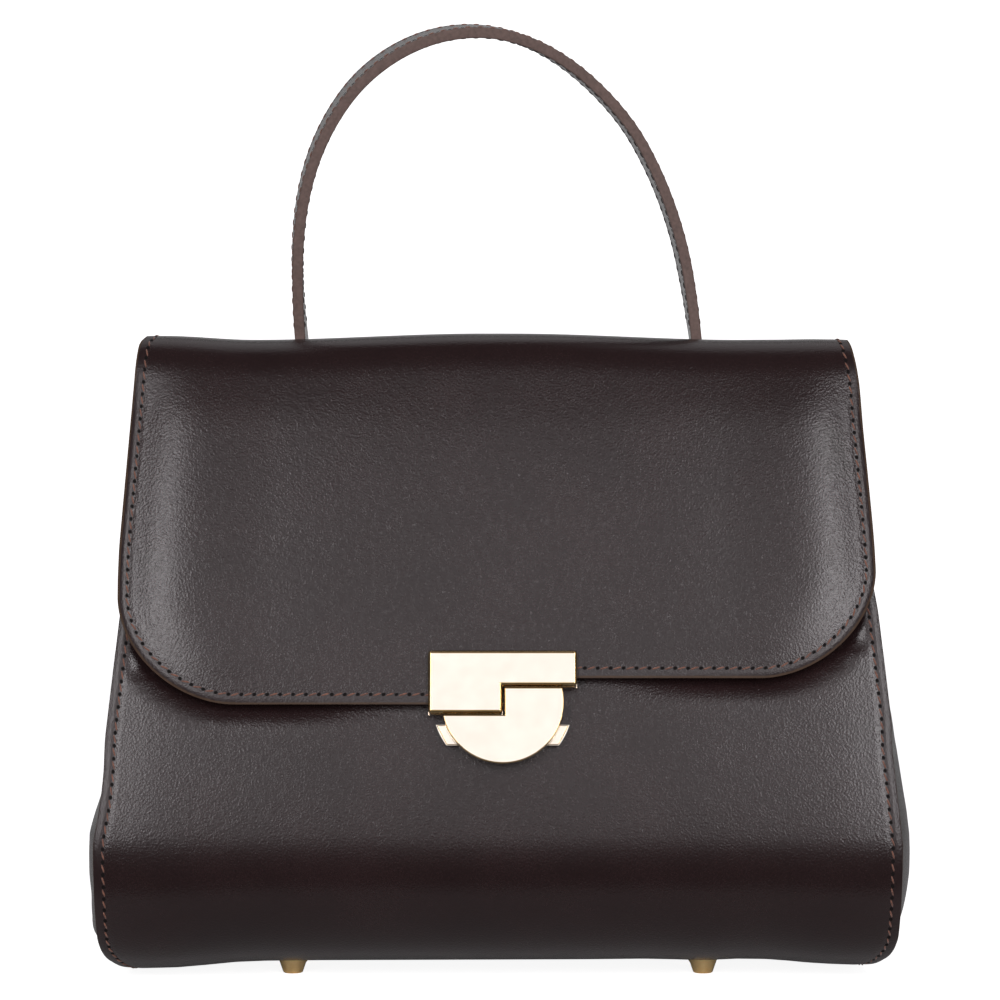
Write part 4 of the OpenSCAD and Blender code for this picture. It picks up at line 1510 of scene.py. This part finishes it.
    def build(self, finishes: Wardrobe, work: Needlework) -> None:
        """Models the flap, its board, its lining and its stitches.

        Args:
            finishes: The bag's finishes.
            work: How it is sewn.
        """
        piece = self.lay()
        add_finish(piece, finishes.leather, finishes.paint)
        for face in piece.data.polygons:
            face.material_index = int(self.near[list(face.vertices)].mean() < self.painted)
        thicken(piece, self.cut.thickness, 1.2, flip=True)
        self.build_layer("flap_board_sheet", 1.5, 0.4, finishes.board, Slot.BOARD, "flap_board")
        inside = self.cut.thickness + 0.3
        self.build_layer("flap_lining_leather", inside, 0.7, finishes.lining, Slot.LINING, "flap_lining")
        tail, low, first, last = self.sides()
        rows = [
            self.seam(Path(last.points), start=self.margin.inset, stop=0.0),
            self.seam(Path(low.points[::-1])),
            self.seam(Path(first.points[::-1]), stop=self.margin.inset),
            self.seam(tail, start=self.margin.inset, stop=self.margin.inset),
        ]
        stitches = work.sew("flap_stitches", [p for p, _ in rows], [-n for _, n in rows], finishes)
        self.bend(piece, Slot.LEATHER, "flap_outer", "flap_tail")
        self.bend(stitches, Slot.LEATHER)

    def bend(self, piece: bpy.types.Object, slot: Slot, *nodes: str) -> None:
        """Bakes a finished piece's placement into its mesh and hides some nodes in its place.

        Args:
            piece: The finished piece.
            slot: Not used.
            nodes: The frame's nodes that it stands for.
        """
        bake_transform(piece)
        if nodes:
            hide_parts(*nodes)

    def build_layer(
        self, name: str, depth: float, thickness: float, finish: bpy.types.Material, slot: Slot, node: str
    ) -> None:
        """Models a layer behind the flap's leather, from the roof to near the lower edge.

        Args:
            name: The piece's name.
            depth: How far its outer face lies inside the leather's.
            thickness: Its thickness.
            finish: Its finish.
            slot: Its slot in the record.
            node: The node it stands for.
        """
        self.shift = -depth
        low = float(self.length_at(self.cut.roof_z - 1)) / self.profile.length * self.layer_from
        piece = laid_grid(
            name,
            0.5 + (graded(110) - 0.5) * self.layer_share,
            low + graded(110, 0.5) * (self.layer_to - low),
            lambda u, v: self.place(self.patch(u, v)),
        )
        self.shift = 0.0
        add_finish(piece, finish, finish)
        thicken(piece, thickness, 0.0, flip=True)
        self.bend(piece, slot, node)


# Handle


@dataclass
class Handle:
    """The strap that arches over the roof.

    turns is a table of heights over the roof and turns to the right in degrees. knots are points of the
    strap's middle line, seen from the front.
    """

    figure: Figure
    roof_z: float
    width: float = 20.0
    thickness: float = 3.7
    lean: float = math.radians(8)
    roll: float = math.radians(10.7)
    turns: tuple[tuple[float, float], ...] = ((0.0, 0.3), (24.5, 3.7), (49.5, 5.1), (79.5, 7.3), (109.5, 10.6))
    tape_width: float = 16.0
    tape_thickness: float = 0.4
    rim_round: float = 0.5
    columns: int = 14
    rows: int = 170
    stitch_inset: float = 2.6
    stitch_end: float = 6.0
    knots: tuple[tuple[float, float], ...] = (
        (-68.6, -2.5), (-69.8, 14.9), (-70.1, 31.6), (-68.6, 47.7), (-64.8, 63.1), (-58.3, 77.3), (-49.2, 89.6),
        (-37.2, 99.0), (-23.2, 104.8), (-8.0, 106.4), (7.1, 103.4), (21.3, 96.3), (34.1, 86.1), (44.8, 74.1),
        (52.9, 60.6), (59.2, 46.2), (63.9, 31.1), (67.1, 15.0), (69.4, -2.0),
    )

    def place(self, across: Array, along: Array, out: float) -> Array:
        """Gives points on the strap.

        Args:
            across: Distances from its centre line, towards the back.
            along: Distances along it.
            out: Distance outside its middle layer.

        Returns:
            Points in millimetres.
        """
        at, tangent = self.line.at(along), self.line.along(along, 1.5)
        x = at[:, 0] - tangent[:, 1] * out
        up = at[:, 1] + tangent[:, 0] * out
        y = across * math.cos(self.roll) - up * math.sin(self.lean)
        z = self.roof_z + up * math.cos(self.lean) + across * math.sin(self.roll)
        heights, turns = np.array(self.turns).T
        turn = np.interp(z - self.roof_z, heights, np.radians(turns))
        px = x * np.cos(turn) - y * np.sin(turn)
        py = x * np.sin(turn) + y * np.cos(turn)
        return np.stack([px, self.figure.middle + py, z], axis=-1)

    def build(self, finishes: Wardrobe, work: Needlework) -> None:
        """Models the strap and its stitches.

        Args:
            finishes: The bag's finishes.
            work: How it is sewn.
        """
        self.line = Path(spline(list(self.knots), 1.0)).softened(4.0)
        looks = finishes.leather, finishes.raw_edge
        strap = self.band("handle_strap", self.width, self.thickness, looks, self.rim_round)
        looks = finishes.tape, finishes.tape
        tape = self.band("handle_band", self.tape_width, self.tape_thickness, looks, 0.0)
        seat(strap, Body.FLAP, Slot.LEATHER, "handle_outer", "handle_inner")
        seat(tape, Body.FLAP, Slot.TAPE, "handle_tape")
        s = np.arange(self.stitch_end, self.line.length - self.stitch_end, 0.8)
        for face, name in ((1, "handle_outer_stitches"), (-1, "handle_inner_stitches")):
            paths, normals = [], []
            for edge in (-1, 1):
                across = np.full(len(s), edge * (self.width / 2 - self.stitch_inset))
                here = self.place(across, s, face * self.thickness / 2)
                paths.append(here)
                normals.append(self.place(across, s, face * (self.thickness / 2 + 1)) - here)
            # The inner face's stitches take the thread darkened with painted shade.
            seat(work.sew(name, paths, normals, finishes, painted_shade_thread=face < 0), Body.FLAP, Slot.LEATHER)

    def band(
        self, name: str, width: float, thickness: float, looks: tuple[bpy.types.Material, ...], rounding: float
    ) -> bpy.types.Object:
        """Models one layer of the handle on its middle line.

        Args:
            name: The piece's name.
            width: Its width, front to back.
            thickness: Its thickness, half on either side of the line.
            looks: Materials of its faces and of its edges.
            rounding: Radius along its edges, or 0.

        Returns:
            The finished piece.
        """
        piece = laid_grid(
            name,
            graded(self.columns, 0.5),
            np.linspace(0, 1, self.rows + 1),
            lambda u, v: self.place((u - 0.5) * width, v * self.line.length, thickness / 2),
        )
        add_finish(piece, *looks)
        thicken(piece, thickness, rounding, flip=True)
        return piece


# Lock


@dataclass
class Lock:
    """The lock's face, drawn in the plane of the leather under it: the two plates and the two ears."""

    figure: Figure
    width: float = 49.8
    bar: float = 11.9
    step: float = 9.2
    drop: float = 3.7
    radius: float = 20.4
    gap: float = 0.7
    cap: float = 1.6
    proud: float = 0.12
    edge_round: float = 1.1
    ear: tuple[tuple[float, float], ...] = ((-22.35, -7.1), (-18.8, -14.1), (-14.0, -14.1), (-18.0, -7.1))
    ear_cap: float = 1.0
    ear_round: float = 0.6

    def __post_init__(self) -> None:
        """Finds the plane."""
        tilt = float(self.figure.lean(self.figure.lock_z))
        depth = self.figure.middle - float(self.figure.wall_half(self.figure.lock_z))
        self.origin = np.array([self.figure.lock_x, depth, self.figure.lock_z])
        self.up = np.array([0.0, math.sin(tilt), math.cos(tilt)])
        self.out = np.array([0.0, -math.cos(tilt), math.sin(tilt)])

    def levels(self, node: bpy.types.Object) -> tuple[float, float]:
        """Gives the heights of a node's back and face over the leather.

        Args:
            node: The node.

        Returns:
            The lowest and the highest height, in millimetres.
        """
        world = np.array([node.matrix_world @ v.co for v in node.data.vertices]) / MM
        height = (world - self.origin) @ self.out
        return float(height.min()), float(height.max())

    def plate_outline(self) -> Array:
        """Gives the flap plate's L, anticlockwise.

        Returns:
            Its corners in the lock's plane, one row each.
        """
        half, top, step = self.width / 2, self.step + self.bar - self.drop, self.step - self.drop
        low = -self.drop
        return np.array([(-half, low), (0, low), (0, step), (half, step), (half, top), (-half, top)])

    def disc_outline(self) -> Array:
        """Gives the disc, cut off along the flap plate's stepped edge, anticlockwise.

        Returns:
            Its outline in the lock's plane, one row each.
        """
        r, shift = self.radius + self.proud, self.gap - self.proud
        low, high = -self.drop - shift, self.step - self.drop - shift
        arc = np.linspace(math.pi + math.asin(-low / r), 2 * math.pi + math.asin(high / r), 110)
        points = np.stack([r * np.cos(arc), r * np.sin(arc)], axis=-1)
        return np.vstack([points, [(shift, high), (shift, low)]])

    def plate(
        self, name: str, outline: Array, back: float, face: float, rounding: float, finishes: Wardrobe
    ) -> bpy.types.Object:
        """Models a flat plate with rounded edges.

        Args:
            name: The piece's name.
            outline: Its outline in the lock's plane, anticlockwise.
            back: Height of its back over the leather.
            face: Height of its face.
            rounding: Radius along its edges.
            finishes: The bag's finishes.

        Returns:
            The finished piece.
        """
        deselect()
        bpy.ops.mesh.primitive_circle_add(vertices=len(outline), radius=1, fill_type="NGON")
        piece = bpy.context.object
        piece.name = piece.data.name = name
        flat = np.stack([outline[:, 0], np.zeros(len(outline)), np.zeros(len(outline))], axis=-1)
        points = self.origin + flat + outline[:, 1:] * self.up + face * self.out
        order = np.array(piece.data.polygons[0].vertices)
        laid = np.empty_like(points)
        laid[order] = points
        write_points(piece, laid)
        # Rims and rounded edges take the darker gold: painted shade along the plate's edges.
        add_finish(piece, finishes.gold, finishes.gold_edge_shade)
        body = piece.modifiers.new("body", "SOLIDIFY")
        body.thickness, body.offset = (face - back) * MM, -1.0
        body.material_offset_rim = 1
        edges = piece.modifiers.new("edges", "BEVEL")
        edges.width, edges.segments, edges.material = rounding * MM, 4, 1
        edges.limit_method, edges.angle_limit = "ANGLE", math.radians(40)
        apply_modifiers(piece)
        activate(piece)
        bpy.ops.object.shade_smooth()
        piece.modifiers.new("even", "WEIGHTED_NORMAL").weight = 100
        apply_modifiers(piece)
        return piece

    def build(self, nodes: dict[str, bpy.types.Object], finishes: Wardrobe) -> None:
        """Models both plates and both ears.

        Args:
            nodes: The frame's nodes, which give the plates' heights over the leather.
            finishes: The bag's finishes.
        """
        back, face = self.levels(nodes["lock_plate"])
        plate = self.plate("lock_flap_plate", self.plate_outline(), back, face, self.edge_round, finishes)
        seat(plate, Body.FLAP, Slot.GOLD, "lock_plate")
        face = self.levels(nodes["lock_disc"])[1] + self.proud
        disc = self.plate("lock_disc_face", self.disc_outline(), face - self.cap, face, self.edge_round, finishes)
        seat(disc, Body.BAG, Slot.GOLD)
        for side, turn, body in (("left", 1, Body.TAB_LEFT), ("right", -1, Body.TAB_RIGHT)):
            top = self.levels(nodes[f"tab_{side}"])[1] + self.proud
            outline = (np.array(self.ear) * [turn, 1])[::turn]
            ear = self.plate(f"ear_{side}", outline, top - self.ear_cap, top, self.ear_round, finishes)
            seat(ear, body, Slot.GOLD)


# Inside


@dataclass
class Interior:
    """The front board, the linings, the facings and the pocket, seen when the flap is open."""

    figure: Figure
    inset: float = 7.5
    board_inset: float = 9.0
    facing: float = 28.0
    pocket_half: float = 73.5
    pocket_low: float = 71.0
    pocket_high: float = 177.5

    def wall_sheet(
        self, name: str, toward: float, depth: float, low: float | None, high: float, half: Callable[[Array], Array]
    ) -> bpy.types.Object:
        """Lays a sheet on the inside of a wall.

        Args:
            name: The piece's name.
            toward: -1 for the front wall and 1 for the back.
            depth: Distance inside the outer leather's face.
            low: Height of its lower edge, or None for the middle of the base.
            high: Height of its upper edge.
            half: Half width at given heights.

        Returns:
            The sheet, one layer thick, facing outwards.
        """
        line = self.figure.wall(-depth, high, low)

        def place(u: Array, v: Array) -> Array:
            """Lays the grid, pressed in under the flap on the front wall.

            Args:
                u: Shares across, from 0 to 1.
                v: Shares along, from 0 to 1.

            Returns:
                Points in millimetres, one row each.
            """
            y, z = line.at(v * line.length).T
            x = (2 * u - 1) * half(z)
            if toward < 0:
                y = y - self.figure.dent(x, z, self.figure.edge_half(z) - np.abs(x))
            return self.figure.settle(np.stack([x, self.figure.middle + toward * y, z], axis=-1))

        return laid_grid(name, graded(40, 0.5), graded(60, 0.3), place)

    def build(self, finishes: Wardrobe) -> None:
        """Models the board, the linings, the facings and the pocket.

        Args:
            finishes: The bag's finishes.
        """
        fig = self.figure
        top = fig.mouth_z - 0.2
        board_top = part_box("front_board")[1].z / MM

        def full(z: Array) -> Array:
            """Half width of the linings."""
            return fig.edge_half(z) - self.inset

        board = self.wall_sheet(
            "front_board_sheet", -1.0, 1.7, fig.belly_z, board_top, lambda z: fig.edge_half(z) - self.board_inset
        )
        add_finish(board, finishes.board, finishes.board)
        thicken(board, 0.8, 0.0)
        seat(board, Body.BAG, Slot.BOARD, "front_board")
        for side, toward in (("front", -1.0), ("back", 1.0)):
            lining = self.wall_sheet(f"{side}_lining_leather", toward, 2.7, None, top, full)
            add_finish(lining, finishes.lining, finishes.lining)
            thicken(lining, 0.6, 0.0, flip=toward > 0)
            seat(lining, Body.BAG, Slot.LINING, f"{side}_lining")
            facing = self.wall_sheet(f"{side}_facing_leather", toward, 3.5, fig.mouth_z - self.facing, top, full)
            add_finish(facing, finishes.leather, finishes.paint)
            thicken(facing, 0.8, 0.2, flip=toward > 0)
            seat(facing, Body.BAG, Slot.LEATHER, f"{side}_facing")
        pocket = self.wall_sheet(
            "slip_pocket_leather", 1.0, 3.6, self.pocket_low, self.pocket_high,
            lambda z: np.full(len(z), self.pocket_half),
        )
        add_finish(pocket, finishes.lining, finishes.paint)
        thicken(pocket, 0.7, 0.2, flip=True)
        seat(pocket, Body.BAG, Slot.LINING, "slip_pocket")


# Stage


LAMPS = {
    "front box": ((0.0, -2.1, 0.74), (0.95, 1.38), 4.1),
    "low box": ((0.0, -2.1, -0.25), (0.95, 0.5), 0.3),
    "top box": ((0.0, 0.55, 1.5), (1.7, 1.0), 3.8),
    "left box": ((-0.72, -1.8, 0.66), (0.32, 1.3), 16.5),
    "right box": ((0.74, -1.8, 0.66), (0.32, 1.3), 18.0),
}
LAMP_COLOUR = (1.0, 0.97, 0.99)
LAMP_AIM = Vector((0, 0, 0.13))


@dataclass
class Studio:
    """Floor, backdrop, lamps and camera. The eye is placed in millimetres, the floor and backdrop in metres."""

    middle: float
    eye_x: float = 0.7
    eye_z: float = 163.7
    eye_distance: float = 1250.0
    lens: float = 128.4
    floor_half: float = 2.2
    floor_front: float = -0.09
    floor_back: float = 2.6
    backdrop_top: float = 2.3

    def camera(self) -> None:
        """Makes the camera at the photograph's place."""
        data = bpy.data.cameras.new("camera")
        data.lens = self.lens
        data.sensor_width = 36.0
        data.clip_end = 50.0
        eye = bpy.data.objects.new("camera", data)
        bpy.context.scene.collection.objects.link(eye)
        eye.location = Vector((self.eye_x, self.middle - self.eye_distance, self.eye_z)) * MM
        eye.rotation_euler = (math.pi / 2, 0, 0)
        bpy.context.scene.camera = eye

    def white(self, name: str, glow: float, mirrored: float) -> bpy.types.Material:
        """Makes a material that the camera and reflections see as white.

        Args:
            name: The material's name.
            glow: What it adds to the light on it in the camera's eyes, so that its shadows still show.
            mirrored: What it adds in reflections.

        Returns:
            The new material.
        """
        material = bpy.data.materials.new(name)
        material.use_nodes = True
        tree = material.node_tree
        tree.nodes.clear()
        s = Shading(tree)
        ray = s.add("ShaderNodeLightPath")
        seen = s.math("MAXIMUM", ray.outputs["Is Camera Ray"], ray.outputs["Is Transmission Ray"])
        seen = s.math("MULTIPLY", seen, glow)
        seen = s.math("MAXIMUM", seen, s.math("MULTIPLY", ray.outputs["Is Glossy Ray"], mirrored))
        tint = s.add("ShaderNodeTexNoise", {"Scale": 3.0})
        colour = s.blend(tint.outputs["Fac"], (0.80, 0.80, 0.80, 1), (0.82, 0.82, 0.82, 1))
        lit = s.add("ShaderNodeBsdfDiffuse", {"Color": colour})
        shine = s.add("ShaderNodeEmission", {"Strength": seen})
        both = s.add("ShaderNodeAddShader", {0: lit.outputs[0], 1: shine.outputs[0]})
        s.add("ShaderNodeOutputMaterial", {"Surface": both.outputs[0]})
        return material

    def screen(
        self, name: str, axes: list[int], half: list[float], centre: list[float], look: bpy.types.Material
    ) -> None:
        """Adds a plane to the stage.

        Args:
            name: The plane's name.
            axes: The order in which a flat plane's axes are taken to stand it up or leave it flat.
            half: Half its size along each axis, in metres.
            centre: Its middle, in metres.
            look: Its material.
        """
        deselect()
        bpy.ops.mesh.primitive_plane_add(size=2)
        piece = bpy.context.object
        piece.name = name
        write_points(piece, (read_points(piece)[:, axes] * half + centre) / MM)
        add_finish(piece, look)

    def stage(self) -> None:
        """Makes the floor, which starts shortly before the bag, and the backdrop behind it."""
        middle, depth = (self.floor_front + self.floor_back) / 2, (self.floor_back - self.floor_front) / 2
        high = self.backdrop_top / 2
        floor = self.white("white floor", 0.9, 0.02)
        self.screen("floor", [0, 1, 2], [self.floor_half, depth, 0], [0, middle, 0], floor)
        backdrop = self.white("white backdrop", 1.0, 0.3)
        self.screen("backdrop", [0, 2, 1], [self.floor_half, 0, high], [0, self.floor_back, high], backdrop)

    def world(self) -> None:
        """Makes the world: white where it is seen and a soft grey light elsewhere."""
        world = bpy.data.worlds.new("studio")
        bpy.context.scene.world = world
        world.use_nodes = True
        world.node_tree.nodes.clear()
        s = Shading(world.node_tree)
        ray = s.add("ShaderNodeLightPath")
        seen = s.math("MAXIMUM", ray.outputs["Is Camera Ray"], ray.outputs["Is Transmission Ray"])
        soft = s.add("ShaderNodeBackground", {"Color": (1, 1, 1, 1), "Strength": 0.10})
        white = s.add("ShaderNodeBackground", {"Color": (1, 1, 1, 1), "Strength": 1.0})
        mixed = s.add("ShaderNodeMixShader", {0: seen, 1: soft.outputs[0], 2: white.outputs[0]})
        s.add("ShaderNodeOutputWorld", {"Surface": mixed.outputs[0]})

    def lamp(self, name: str, place: tuple[float, float, float], size: tuple[float, float], power: float) -> None:
        """Adds a soft box that looks at the bag.

        Args:
            name: The lamp's name.
            place: Its centre, in metres.
            size: Its width and height, in metres.
            power: Its power in watts.
        """
        data = bpy.data.lights.new(name, "AREA")
        data.shape = "RECTANGLE"
        data.size, data.size_y = size
        data.energy = power
        data.color = LAMP_COLOUR
        lamp = bpy.data.objects.new(name, data)
        bpy.context.scene.collection.objects.link(lamp)
        lamp.location = place
        aim = LAMP_AIM - Vector(place)
        lamp.rotation_euler = aim.to_track_quat("-Z", "Y").to_euler()

    def build(self) -> None:
        """Sets the stage and the view."""
        self.camera()
        self.stage()
        self.world()
        for name, (place, size, power) in LAMPS.items():
            self.lamp(name, place, size, power)
        bpy.context.scene.view_settings.view_transform = "Standard"


def dress_nodes(nodes: dict[str, bpy.types.Object], finishes: Wardrobe) -> None:
    """Gives every node of the frame that stays its finish.

    Args:
        nodes: The frame's nodes.
        finishes: The bag's finishes.
    """
    looks = {
        finishes.gold: ("lock_clamp", "lock_disc", "lock_base", "tab_left", "tab_right"),
        finishes.brass: ("feet",),
        finishes.steel: ("foot_screws", "lock_plate_screws", "spring_left", "spring_right", "lock_case", "lock_screws"),
        finishes.board: ("back_board", "base_board"),
        finishes.lining: ("lock_cover",),
    }
    for material, names in looks.items():
        for name in names:
            add_finish(nodes[name], material)


def main() -> None:
    """Builds the whole scene and logs each piece that it seats on a body."""
    logging.basicConfig(level=logging.INFO, format="%(message)s")
    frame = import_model()
    finishes = Wardrobe.stocked()
    work = Needlework()
    figure = Figure.from_frame()
    roof_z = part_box("flap_outer")[1].z / MM
    dress_nodes(frame["nodes"], finishes)
    Studio(figure.middle).build()
    flap = Flap(figure, FlapCut(roof_z))
    figure.flap_edge = flap.low_line()
    Panel(figure, True).build(finishes, work, ("front_panel",))
    Panel(figure, False).build(finishes, work, ("back_panel",))
    Gusset(figure, -1.0).build(finishes, ("gusset_left", "gusset_lining_left"))
    Gusset(figure, 1.0).build(finishes, ("gusset_right", "gusset_lining_right"))
    flap.build(finishes, work)
    Handle(figure, roof_z).build(finishes, Needlework(length=2.9, thread=0.6, sink=0.2))
    Lock(figure).build(frame["nodes"], finishes)
    Interior(figure).build(finishes)


if __name__ == "__main__":
    main()
